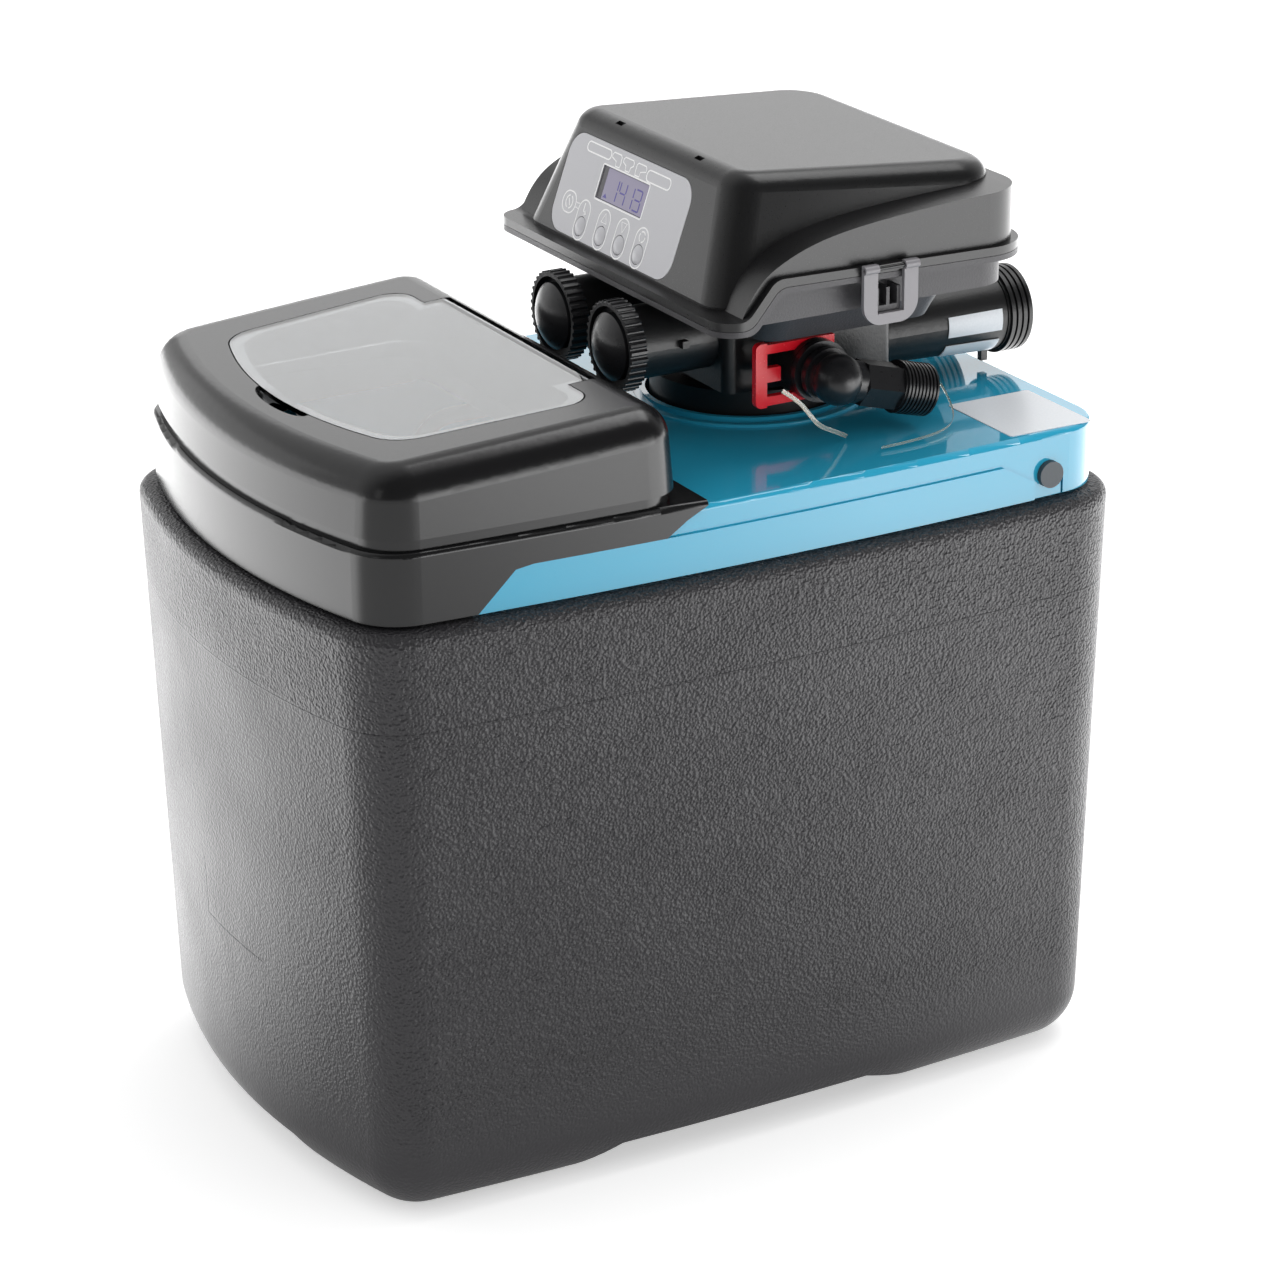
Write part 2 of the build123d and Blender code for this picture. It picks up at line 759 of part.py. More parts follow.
def port_pipe(side):
    """One rear port: cone, coarse thread rings and two small stop lugs."""
    cone_end = port_end_y - thread_length
    run = cone_end - pipe_front_y
    pipe = Pos(0, 0, run / 2) * Cone(pipe_front_r, pipe_rear_r, run)
    pipe += Pos(0, 0, run) * cylinder(thread_root_r, thread_length)
    pitch = thread_length / thread_rings
    for number in range(thread_rings):
        land = pitch * thread_land_share
        pipe += Pos(0, 0, run + number * pitch + pitch - land) * cylinder(thread_r, land)
    pipe = Pos(side * port_x, pipe_front_y, port_z) * along_y(pipe)
    lugs = Pos(side * port_x, stop_lug_y, port_z - pipe_rear_r - stop_lug_drop)
    pipe += lugs * block(stop_lug, stop_lug, 2 * (pipe_rear_r + stop_lug_drop))
    return pipe


def valve_body():
    body = Pos(0, tank_y, body_flange_low) * cylinder(body_flange_r, body_flange_high - body_flange_low)
    body += Pos(0, tank_y, body_flange_high - flange_wall) * cylinder(column_r, block_low - body_flange_high + 2 * flange_wall)
    body += block_between(shoulder_half, block_front_y, shoulder_rear_y, block_low, shoulder_z, block_round)
    body += block_between(block_half, upper_front_y, upper_rear_y, block_low, block_top, block_round)
    for side in (-1, 1):
        body += port_pipe(side)
        start = Pos(side * port_x, barrel_front_y, barrel_z)
        reach = block_front_y - barrel_front_y + cut_over
        body += start * along_y(cylinder(barrel_r_out, reach))
        lug_y = (barrel_front_y + block_front_y) / 2
        body += Pos(side * port_x, lug_y, barrel_z) * block(2 * (barrel_r_out + barrel_lug), barrel_lug, barrel_lug)
        body -= start * along_y(cylinder(rotor_bore_r, rotor_end_y - barrel_front_y))
        body -= Pos(side * port_x, port_stop_y, port_z) * along_y(cylinder(port_bore_r, cab_length))
        body -= Pos(side * port_x, passage_y - passage_r, port_z) * along_y(cylinder(passage_r, port_stop_y - passage_y + cut_over))
        across = tank_y - passage_y
        turn = degrees(atan2(across, -side * port_x))
        body -= Pos(side * port_x, passage_y, barrel_z) * Rot(0, 0, turn) * along_x(cylinder(passage_r, sqrt(across ** 2 + port_x ** 2)))
        body -= Pos(side * port_x, port_end_y - socket_depth, port_z) * along_y(cylinder(socket_r, socket_depth + cut_over))
    body += Pos(0, drain_y, drain_z) * along_x(cylinder(boss_r, boss_end_x))
    body -= Pos(spigot_start_x, drain_y, drain_z) * along_x(cylinder(spigot_r + run_fit, cab_width))
    body -= Pos(0, drain_y, drain_z) * along_x(cylinder(drain_bore_r, cab_width))
    for rise in (-1, 1):
        slot_z = drain_z + rise * (spigot_groove_r + seat_gap + prong_wall / 2)
        slot = block(clip_wall + part_gap, 3 * boss_r, prong_wall + part_gap)
        body -= Pos(clip_x, drain_y, slot_z - (prong_wall + part_gap) / 2) * slot
    body += Pos(-brine_boss_x, tank_y, brine_z) * along_x(cylinder(brine_boss_r, brine_boss_x))
    body -= Pos(-brine_boss_x, tank_y, brine_z) * along_x(cylinder(brine_tube_r + seat_gap, brine_socket))
    body -= Pos(-brine_boss_x, tank_y, brine_z) * along_x(cylinder(brine_tube_bore_r, brine_boss_x))
    body -= Pos(-shoulder_half, injector_y, injector_z) * along_x(cylinder(injector_r + seat_gap, injector_length))
    body -= Pos(0, tank_y, body_flange_low - cut_over) * cylinder(neck_r + seat_gap, neck_top - body_flange_low + cut_over)
    body -= Pos(0, tank_y, seal_low) * cylinder(neck_r + 2 * seat_gap + seal_wall, seal_height)
    body -= Pos(0, tank_y, neck_top - cut_over) * cylinder(riser_r + run_fit, riser_top - neck_top + cut_over)
    body -= Pos(0, tank_y, piston_bore_low) * cylinder(piston_bore_r, block_top)
    body -= Pos(0, tank_y, neck_top) * cylinder(riser_bore_r - cover_wall, piston_bore_low)
    for spot_x, spot_y in screw_spots:
        body -= Pos(spot_x, spot_y, shoulder_z - screw_depth) * cylinder(screw_r + seat_gap, block_top)
    return body


keep("valve_body", valve_body())
neck_seal = tube(neck_r + seat_gap + seal_wall, neck_r + seat_gap, seal_height)
keep("neck_seal", Pos(0, tank_y, seal_low) * neck_seal)


# Seal stack: rubber rings and plastic spacers around the piston.
piston_r = 9.8
piston_low = 402.0
piston_height = 24.0
piston_waist_r = 7.5
piston_waist = 8.0
rod_shaft_r = 3.9
rod_head_r = 7.0
rod_shaft_top = 472.0
ring_count = 5
ring_height = 3.0
spacer_height = 7.0
spacer_bore_r = 12.0
spacer_window = 4.0
stack_low = 400.0
stack_outer_r = piston_bore_r - seat_gap


def seal_rings():
    rings = []
    for number in range(ring_count):
        low = stack_low + number * (ring_height + spacer_height)
        rings.append(Pos(0, tank_y, low) * tube(stack_outer_r, piston_r + run_fit, ring_height))
    return Compound(rings)


def spacer_rings():
    spacers = []
    for number in range(ring_count - 1):
        spacer = tube(stack_outer_r, spacer_bore_r, spacer_height)
        window = Pos(0, 0, (spacer_height - spacer_window) / 2) * block(3 * piston_bore_r, spacer_window, spacer_window)
        spacer -= window
        spacer -= Rot(0, 0, 90) * window
        low = stack_low + ring_height + number * (ring_height + spacer_height)
        spacers.append(Pos(0, tank_y, low) * spacer)
    return Compound(spacers)


def piston():
    body = cylinder(piston_r, piston_height)
    waist = tube(piston_r + cut_over, piston_waist_r, piston_waist)
    body -= Pos(0, 0, (piston_height - piston_waist) / 2) * waist
    body -= Pos(0, 0, -cut_over) * cylinder(rod_shaft_r + seat_gap, piston_height + 2 * cut_over)
    return Pos(0, tank_y, piston_low) * body


def piston_rod():
    head_low = piston_low - ring_height / 2
    rod = Pos(0, tank_y, head_low) * cylinder(rod_shaft_r, rod_shaft_top - head_low)
    rod += Pos(0, tank_y, head_low) * cylinder(rod_head_r, ring_height / 2)
    collar_z = piston_low + piston_height
    return rod + Pos(0, tank_y, collar_z) * cylinder(rod_shaft_r + cover_wall / 2, spacer_window / 2)


keep("stack_seals", seal_rings())
keep("spacer_stack", spacer_rings())
keep("piston", piston())
keep("piston_rod", piston_rod())


# Drive train: cap, gear with a threaded hub, pinion, bracket and motor.
cap_flange_r = 23.0
cap_flange = 4.0
cap_boss_r = 9.0
cap_boss = 8.0
tooth_module = 1.5
gear_teeth = 40
pinion_teeth = 10
gear_wall = 6.0
tooth_play = 0.3
gear_mesh_x = tooth_module * (gear_teeth + pinion_teeth) / 2 + tooth_play
addendum_share = 0.9
dedendum_share = 1.15
tip_share = 0.30
root_share = 0.66
hub_r = 12.5
hub_plate = 3.0
pinion_shaft_r = 2.5
bracket_low = 466.0
bracket_wall = 3.0
bracket_left_x = -34.0
bracket_right_x = 60.0
bracket_front_y = 38.0
bracket_rear_y = 126.0
post_r = 4.0
post_x = (-26.0, 46.0)
post_y = (44.0, 120.0)
motor_r = 17.0
motor_height = 24.0
motor_round = 2.0


def toothed_disc(teeth, height):
    """Straight-sided teeth on a disc, tooth number zero pointing along +x."""
    pitch_r = tooth_module * teeth / 2
    tip_r = pitch_r + tooth_module * addendum_share
    root_r = pitch_r - tooth_module * dedendum_share
    pitch_angle = 2 * pi / teeth
    points = []
    for number in range(teeth):
        middle = number * pitch_angle
        for radius, share in ((root_r, -root_share), (tip_r, -tip_share), (tip_r, tip_share), (root_r, root_share)):
            angle = middle + share * pitch_angle / 2
            points.append((radius * cos(angle), radius * sin(angle)))
    return extrude(make_face(Polyline(points, close=True)), height)


def stack_cap():
    body = Pos(0, 0, -ring_height) * cylinder(stack_outer_r, ring_height)
    body += cylinder(cap_flange_r, cap_flange)
    body += Pos(0, 0, cap_flange) * cylinder(cap_boss_r, cap_boss)
    body -= Pos(0, 0, -2 * cut_over) * cylinder(rod_shaft_r + run_fit, cap_flange + cap_boss + 4 * cut_over)
    return Pos(0, tank_y, block_top) * body


def drive_gear():
    body = toothed_disc(gear_teeth, gear_wall)
    hub_height = cap_boss + seat_gap + hub_plate
    body += cylinder(hub_r, hub_height)
    body -= Pos(0, 0, -cut_over) * cylinder(cap_boss_r + run_fit, cap_boss + seat_gap + cut_over)
    body -= cylinder(rod_shaft_r + run_fit, hub_height + cut_over)
    return Pos(0, tank_y, block_top + cap_flange) * body


def motor_pinion():
    half_tooth = 180 / pinion_teeth
    body = Rot(0, 0, half_tooth) * toothed_disc(pinion_teeth, gear_wall)
    body += cylinder(pinion_shaft_r, bracket_low + bracket_wall + motor_height / 2 - block_top - cap_flange)
    return Pos(gear_mesh_x, tank_y, block_top + cap_flange) * body


def drive_bracket():
    size_x = bracket_right_x - bracket_left_x
    size_y = bracket_rear_y - bracket_front_y
    plate = rounded_block(size_x, size_y, bracket_wall, block_round)
    body = Pos((bracket_left_x + bracket_right_x) / 2, (bracket_front_y + bracket_rear_y) / 2, bracket_low) * plate
    for x in post_x:
        for y in post_y:
            body += Pos(x, y, block_top) * cylinder(post_r, bracket_low - block_top + bracket_wall / 2)
    body -= Pos(0, tank_y, bracket_low - cut_over) * cylinder(hub_r + cover_wall, bracket_wall + 2 * cut_over)
    return body - Pos(gear_mesh_x, tank_y, bracket_low - cut_over) * cylinder(pinion_shaft_r + run_fit, bracket_wall + 2 * cut_over)


def drive_motor():
    body = cylinder(motor_r, motor_height)
    body = fillet(body.edges().filter_by(GeomType.CIRCLE), motor_round)
    body -= Pos(0, 0, -cut_over) * cylinder(pinion_shaft_r + run_fit, motor_height / 2 + seat_gap + cut_over)
    return Pos(gear_mesh_x, tank_y, bracket_low + bracket_wall) * body


keep("stack_cap", stack_cap())
keep("drive_gear", drive_gear())
keep("motor_pinion", motor_pinion())
keep("drive_bracket", drive_bracket())
keep("drive_motor", drive_motor())


# Bypass knobs: domed caps with a fluted ring, each turning a rotor in its barrel.
knob_ring_r = 25.2
knob_ring_front_y = -22.4
knob_ring_rear_y = -12.4
knob_dome_r = 18.5
knob_apex_y = -29.4
knob_groove_r = 22.0
knob_groove_depth = 5.0
flute_count = 36
flute_r = 1.5
stem_r = 6.0
stem_reach = 8.0


def bypass_knob(side):
    ring_length = knob_ring_rear_y - knob_ring_front_y
    outline = Circle(knob_ring_r)
    for number in range(flute_count):
        outline -= Rot(0, 0, 360 * number / flute_count) * Pos(knob_ring_r, 0) * Circle(flute_r)
    body = extrude(outline, ring_length)
    body -= Pos(0, 0, ring_length - knob_groove_depth) * tube(knob_groove_r, knob_dome_r, knob_groove_depth + cut_over)
    rise = knob_ring_front_y - knob_apex_y
    sphere_r = (knob_dome_r ** 2 + rise ** 2) / (2 * rise)
    dome = Pos(0, 0, ring_length + rise - sphere_r) * Sphere(sphere_r)
    dome &= Pos(0, 0, ring_length - knob_groove_depth) * cylinder(knob_dome_r, rise + 2 * knob_groove_depth)
    body += dome
    body -= Pos(0, 0, -cut_over) * cylinder(stem_r + seat_gap, stem_reach + cut_over)
    return Pos(side * port_x, knob_ring_rear_y, barrel_z) * Rot(90, 0, 0) * body


def bypass_rotor(side):
    body_start = barrel_front_y + cover_wall / 2
    body = Pos(0, body_start, 0) * along_y(cylinder(rotor_bore_r - run_fit, rotor_end_y - part_gap - body_start))
    stem_start = knob_ring_rear_y - stem_reach + seat_gap
    body += Pos(0, stem_start, 0) * along_y(cylinder(stem_r, body_start - stem_start + cover_wall))
    body -= Pos(0, passage_y, -2 * rotor_bore_r) * cylinder(passage_r, 4 * rotor_bore_r)
    body -= Pos(-2 * rotor_bore_r, passage_y, 0) * along_x(cylinder(passage_r, 4 * rotor_bore_r))
    return Pos(side * port_x, 0, barrel_z) * body


for side_name, side in (("right", 1), ("left", -1)):
    keep(f"bypass_knob_{side_name}", bypass_knob(side))
    keep(f"bypass_rotor_{side_name}", bypass_rotor(side))


# Drain elbow: ball elbow with a hexagon and a fine male thread, held by the red clip.
ball_x = 100.7
ball_r = 14.0
elbow_ring_r = 17.0
elbow_ring = 4.0
second_ring_r = 15.0
elbow_drop = 15.0
hex_flats = 23.0
hex_start = 13.0
hex_end = 36.0
elbow_thread_r = 14.5
elbow_root_r = 13.3
elbow_thread_end = 57.0
elbow_thread_rings = 9
elbow_bore_r = 8.0
clip_spine_y = 46.5
clip_spine = 7.0
clip_half = 18.0
clip_prong_end = 92.0
clip_grip = 12.0
clip_grip_half = 4.0
drain_seal_x = 64.0
drain_seal = 3.0


def outlet_frame():
    """Placing of the tilted outlet: local z runs along its axis."""
    return Pos(ball_x, drain_y, drain_z) * Rot(-90 - elbow_drop, 0, 0)


def drain_elbow():
    start = spigot_start_x + part_gap
    body = Pos(start, drain_y, drain_z) * along_x(cylinder(spigot_r, ball_x - start))
    body += Pos(boss_end_x + part_gap, drain_y, drain_z) * along_x(cylinder(elbow_ring_r, elbow_ring))
    body += Pos(boss_end_x + 2 * elbow_ring, drain_y, drain_z) * along_x(cylinder(second_ring_r, elbow_ring))
    body += Pos(ball_x, drain_y, drain_z) * Sphere(ball_r)
    out = outlet_frame()
    flats = extrude(RegularPolygon(hex_flats / 2, 6, major_radius=False), hex_end - hex_start)
    body += out * cylinder(hex_flats / 2, elbow_thread_end)
    body += out * Pos(0, 0, hex_start) * flats
    body += out * Pos(0, 0, hex_end) * cylinder(elbow_root_r, elbow_thread_end - hex_end)
    pitch = (elbow_thread_end - hex_end) / elbow_thread_rings
    for number in range(elbow_thread_rings):
        body += out * Pos(0, 0, hex_end + number * pitch + pitch / 2) * cylinder(elbow_thread_r, pitch / 2)
    groove = tube(spigot_r + cut_over / 2, spigot_groove_r, clip_wall + part_gap)
    body -= Pos(clip_x - (clip_wall + part_gap) / 2, drain_y, drain_z) * along_x(groove)
    seal_groove = tube(spigot_r + cut_over / 2, spigot_groove_r - seat_gap, drain_seal)
    body -= Pos(drain_seal_x, drain_y, drain_z) * along_x(seal_groove)
    body -= out * cylinder(elbow_bore_r, elbow_thread_end + cut_over)
    body -= Pos(start - cut_over, drain_y, drain_z) * along_x(cylinder(elbow_bore_r, ball_x - start + cut_over))
    return body - Pos(ball_x, drain_y, drain_z) * Sphere(elbow_bore_r)


def drain_clip():
    height = 2 * clip_half
    body = Pos(clip_x, clip_spine_y, drain_z - clip_half) * block(clip_wall, clip_spine, height)
    prong_length = clip_prong_end - clip_spine_y
    for rise in (-1, 1):
        prong_z = drain_z + rise * (spigot_groove_r + seat_gap + prong_wall / 2)
        prong = block(clip_wall, prong_length, prong_wall)
        body += Pos(clip_x, clip_spine_y + prong_length / 2, prong_z - prong_wall / 2) * prong
    grip = block(clip_wall, clip_grip, 2 * clip_grip_half)
    body += Pos(clip_x, clip_spine_y + clip_grip / 2, drain_z - clip_grip_half) * grip
    outer = body.edges().filter_by(Axis.X).sort_by(Axis.Y)[:2]
    return fillet(outer, clip_spine / 2)


keep("drain_elbow", drain_elbow())
keep("drain_clip", drain_clip())
keep("drain_seal", Pos(drain_seal_x, drain_y, drain_z) * along_x(tube(spigot_r - seat_gap, spigot_groove_r, drain_seal)))


# Injector: jet cartridge and its plug in the left side of the valve.
def injector():
    body = cylinder(injector_r, injector_length - part_gap)
    body += Pos(0, 0, -injector_cap_wall) * cylinder(injector_cap_r, injector_cap_wall)
    body -= Pos(0, 0, injector_length / 2) * cylinder(injector_r / 3, injector_length)
    return Pos(-shoulder_half, injector_y, injector_z) * along_x(body)


keep("injector", injector())


# Flow meter: cage pressed in the left port's bore and a small turbine wheel inside it.
cage_front_y = 168.0
cage_length = 28.0
cage_wall = 1.4
cage_hub_r = 3.6
spoke_wall = 1.6
cage_spokes = 3
turbine_shaft_r = 1.4
turbine_hub_r = 4.5
turbine_r = 11.2
turbine_length = 14.0
blade_count = 6
blade_wall = 1.0
blade_twist = 30.0


def meter_cage():
    outer_r = port_bore_r - seat_gap
    body = tube(outer_r, outer_r - cage_wall, cage_length)
    for low in (0, cage_length - spoke_wall):
        star = cylinder(cage_hub_r, spoke_wall)
        for number in range(cage_spokes):
            star += Rot(0, 0, 180 * number / cage_spokes) * block(2 * outer_r - cage_wall, spoke_wall, spoke_wall)
        body += Pos(0, 0, low) * star
    body -= Pos(0, 0, -cut_over) * cylinder(turbine_shaft_r + run_fit, cage_length + 2 * cut_over)
    return Pos(-port_x, cage_front_y, port_z) * along_y(body)


def meter_turbine():
    low = (cage_length - turbine_length) / 2
    body = cylinder(turbine_shaft_r, cage_length)
    body += Pos(0, 0, low) * cylinder(turbine_hub_r, turbine_length)
    for number in range(blade_count):
        blade = Pos(turbine_r / 2, 0, 0) * Box(turbine_r, blade_wall, turbine_length / 2)
        blade = Rot(0, 0, 360 * number / blade_count) * Rot(blade_twist, 0, 0) * blade
        body += Pos(0, 0, cage_length / 2) * blade
    return Pos(-port_x, cage_front_y, port_z) * along_y(body)


keep("meter_cage", meter_cage())
keep("meter_turbine", meter_turbine())


# Brine tube: from the valve's left side through the deck and forward into the brine well.
tube_drop_z = 352.0
tube_end_z = safety_low + safety_height - safety_seat + seat_gap
tube_bend = 24.0
nut_length = 14.0
nut_flats = 20.0


def brine_tube():
    start_x = -brine_boss_x + brine_socket - seat_gap
    points = [(start_x, tank_y, brine_z), (tube_x, tank_y, brine_z), (tube_x, tank_y, tube_drop_z),
              (well_x, well_y, tube_drop_z), (well_x, well_y, tube_end_z)]
    path = FilletPolyline(*points, radius=tube_bend)
    profile = Plane(origin=path @ 0, z_dir=path % 0) * (Circle(brine_tube_r) - Circle(brine_tube_bore_r))
    return sweep(profile, path=path)


def brine_nut():
    nut = extrude(RegularPolygon(nut_flats / 2, 6, major_radius=False), nut_length)
    nut -= Pos(0, 0, -cut_over) * cylinder(brine_tube_r + seat_gap, nut_length + 2 * cut_over)
    nut -= Pos(0, 0, cover_wall) * cylinder(brine_boss_r + seat_gap, nut_length)
    return Pos(-brine_boss_x - cover_wall, tank_y, brine_z) * along_x(nut)


keep("brine_tube", brine_tube())
keep("brine_nut", brine_nut())


# Rim line of the head: low along the front, then stepping up and running level to the rear.
head_half = 127.0
head_front_y = -8.0
head_rear_y = 189.0
head_front_round = 14.0
head_rear_round = 30.0
rim_front_z = 459.0
rim_side_z = 479.0
rim_rear_z = 476.0
rim_step_y = 8.0
rim_step_end_y = 25.0
rim_step_round = 10.0
rim_wall = 4.6
rim_width = 9.0


def head_plan(inset):
    """Rounded outline of the head, straight at the front and softer at the rear."""
    length = head_rear_y - head_front_y - 2 * inset
    face = Pos(0, (head_rear_y + head_front_y) / 2) * Rectangle(2 * (head_half - inset), length)
    corners = face.vertices().sort_by(Axis.Y)
    face = fillet(corners[:2], max(head_front_round - inset, least_corner_r))
    return fillet(face.vertices().sort_by(Axis.Y)[-2:], max(head_rear_round - inset, least_corner_r))


def head_column(inset, low, high):
    return extrude(Pos(0, 0, low) * head_plan(inset), high - low)


def above_rim(drop):
    """Everything above the rim line lowered by drop."""
    near = head_front_y - cut_over
    far = head_rear_y + cut_over
    high = cab_length + cab_height
    line = Polyline((near, rim_front_z - drop), (rim_step_y + drop / 2, rim_front_z - drop),
                    (rim_step_end_y + drop / 2, rim_side_z - drop), (far, rim_rear_z - drop))
    rest = Polyline((far, rim_rear_z - drop), (far, high), (near, high), (near, rim_front_z - drop))
    face = Plane.YZ * make_face(line.edges() + rest.edges())
    solid = extrude(face, cab_width, dir=(1, 0, 0), both=True)
    steps = solid.edges().filter_by(Axis.X).sort_by(Axis.Z)
    bends = [edge for edge in steps if near + cut_over < edge.center().Y < far - cut_over]
    return fillet(bends, rim_step_round)


# Valve cover: fender round the sides and rear, with a sloped hood standing on it.
fender_inset = 4.0
fender_points = [(4.0, 452.0), (10.0, 466.0), (20.0, 478.7), (34.0, 487.3), (51.0, 493.6), (74.0, 498.3),
                 (118.0, 502.8), (154.0, 505.0), (176.0, 505.6)]
hood_low = 461.0
hood_front_y = 0.0
hood_rear_y = 184.5
hood_low_half = 109.0
hood_top = 540.0
hood_slope_share = 0.357
hood_top_front_half = 84.0
hood_top_rear_half = 97.0
hood_corner_round = 19.0
hood_rear_round = 28.0
hood_edge_round = 13.0
hood_roof_front_y = 27.0
hood_roof_front_z = 525.5
hood_roof_rear_z = 514.5
hood_wall = 2.5


def fender(shrink):
    """Side and rear walls of the cover up to the curved shelf; shrink gives the inner form."""
    low = rim_front_z - 2 * rim_width
    line = Spline(*[(y, z - shrink) for y, z in fender_points])
    far = head_rear_y + cut_over
    last_z = fender_points[-1][1] - shrink
    first = (fender_points[0][0], fender_points[0][1] - shrink)
    rest = Polyline((fender_points[-1][0], last_z), (far, last_z), (far, low), (first[0], low), first)
    profile = extrude(Plane.YZ * make_face(line.edges() + rest.edges()), cab_width, dir=(1, 0, 0), both=True)
    return head_column(fender_inset + shrink, low, hood_top) & profile


def hood(shrink):
    """Sloped hood, cut along its falling roof; shrink gives the inner form."""
    lean = hood_slope_share * (hood_top - hood_low)
    half = hood_low_half - shrink
    front = hood_front_y + shrink
    rear = hood_rear_y - shrink
    low_face = make_face(Polyline((-half, front), (half, front), (half, rear), (-half, rear), close=True))
    top_front = hood_top_front_half - shrink
    top_rear = hood_top_rear_half - shrink
    top_face = make_face(Polyline((-top_front, front + lean), (top_front, front + lean),
                                  (top_rear, rear), (-top_rear, rear), close=True))
    body = loft([Pos(0, 0, hood_low) * low_face, Pos(0, 0, hood_top) * top_face], ruled=True)
    upright = [edge for edge in body.edges() if edge.bounding_box().size.Z > hood_top - hood_low - cut_over]
    upright = sorted(upright, key=lambda edge: edge.center().Y)
    body = fillet(upright[:2], hood_corner_round - shrink)
    rear_edges = [edge for edge in body.edges() if edge.bounding_box().size.Z > hood_top - hood_low - cut_over]
    rear_edges = sorted(rear_edges, key=lambda edge: edge.center().Y)[-2:]
    body = fillet(rear_edges, hood_rear_round - shrink)
    drop = (hood_roof_front_z - hood_roof_rear_z) / (hood_rear_y - hood_roof_front_y)
    near = hood_front_y - cab_length
    far = hood_rear_y + cut_over
    roof = [(near, hood_roof_front_z - shrink + drop * (hood_roof_front_y - near)),
            (far, hood_roof_front_z - shrink + drop * (hood_roof_front_y - far)),
            (far, 2 * hood_top), (near, 2 * hood_top)]
    body -= side_prism(roof, cab_width)
    top = body.faces().sort_by(Axis.Z)[-1]
    return fillet(top.edges(), hood_edge_round - shrink)


# Keypad plane: local x runs across the face, local y up its slope, local z outwards.
slope_angle = degrees(atan2(1, hood_slope_share))
key_x = -12.5
pad_width = 134.0
pad_height = 56.0
pad_wall = 1.2
pad_round = 13.0
pad_low = 0.8
pad_gap = 0.4
lcd_left = -27.0
lcd_right = 23.5
lcd_low = 26.1
lcd_high = 44.2
key_spots = [-33.4, -10.7, 10.2, 31.1]
key_up = 7.6
key_r = 5.2
key_dome = 1.1
key_travel = 0.8
board_depth = 14.0
board_wall = 1.6
board_width = 112.0
board_height = 44.0
board_low = 6.0
board_post_r = 3.0
board_screw_r = 1.2
board_screw_head_r = 2.6
board_screw_head = 1.6
board_inset = 5.0


def face_place():
    """Placing of the keypad plane at the foot of the hood's front face."""
    return Pos(0, hood_front_y, hood_low) * Rot(slope_angle, 0, 0)


def pad_outline(grow):
    corner = pad_round + grow
    outline = RectangleRounded(pad_width + 2 * grow, pad_height + 2 * grow, corner)
    return Pos(key_x, pad_low + pad_height / 2) * outline


def lcd_outline(grow):
    size_x = lcd_right - lcd_left + 2 * grow
    size_y = lcd_high - lcd_low + 2 * grow
    return Pos(key_x + (lcd_left + lcd_right) / 2, pad_low + (lcd_low + lcd_high) / 2) * Rectangle(size_x, size_y)


def key_places():
    return [Pos(key_x + spot, pad_low + key_up, 0) for spot in key_spots]


def board_places():
    reach_x = board_width / 2 - board_inset
    reach_y = board_height / 2 - board_inset
    middle = Pos(key_x, board_low + board_height / 2, 0)
    return [middle * Pos(sx * reach_x, sy * reach_y, 0) for sx in (-1, 1) for sy in (-1, 1)]


# Slots in the roof, catches for the side clips and the tabs that carry them.
slot_x = 43.0
slot_y = 27.5
roof_slot_x = 7.0
roof_slot_y = 3.0
clip_y = 93.0
clip_half_width = 16.8
clip_plate_wall = 2.6
clip_gap = 0.5
clip_top_z = 479.0
clip_low_z = 446.0
clip_window_half = 8.2
clip_window_low = 452.0
clip_pin_r = 1.1
clip_barrel_r = 2.3
clip_tab_half = 7.4
clip_hook = 3.0
clip_hook_wall = 3.0
catch_ribs = 3
catch_rib = 2.0
catch_low = 452.5
catch_high = 465.0


def mirrored(shape, side):
    return shape if side > 0 else mirror(shape, Plane.YZ)


def clip_pin_place():
    """Where a clip's pin runs, just outside the rim."""
    return Pos(head_half + clip_gap + clip_barrel_r, clip_y, clip_top_z - clip_barrel_r)


def clip_tab():
    """Middle tab of the cover that carries a clip's pin."""
    reach = clip_gap + clip_barrel_r + rim_width / 2
    tab = Pos(head_half - rim_width / 2 + reach / 2, clip_y, clip_top_z - rim_wall / 2)
    body = tab * Box(reach, 2 * clip_tab_half, rim_wall / 2 + clip_plate_wall / 2)
    pin_half = clip_half_width - clip_plate_wall / 2
    pin = Pos(0, -pin_half, 0) * along_y(cylinder(clip_pin_r, 2 * pin_half))
    return body + clip_pin_place() * pin


def hood_foot(shrink, low, high):
    """Upright foot of the hood, joining it to the rim."""
    half = hood_low_half - shrink
    length = hood_rear_y - hood_front_y - 2 * shrink
    middle = Pos(0, (hood_rear_y + hood_front_y) / 2, low)
    return middle * rounded_block(2 * half, length, high - low, hood_corner_round - shrink)


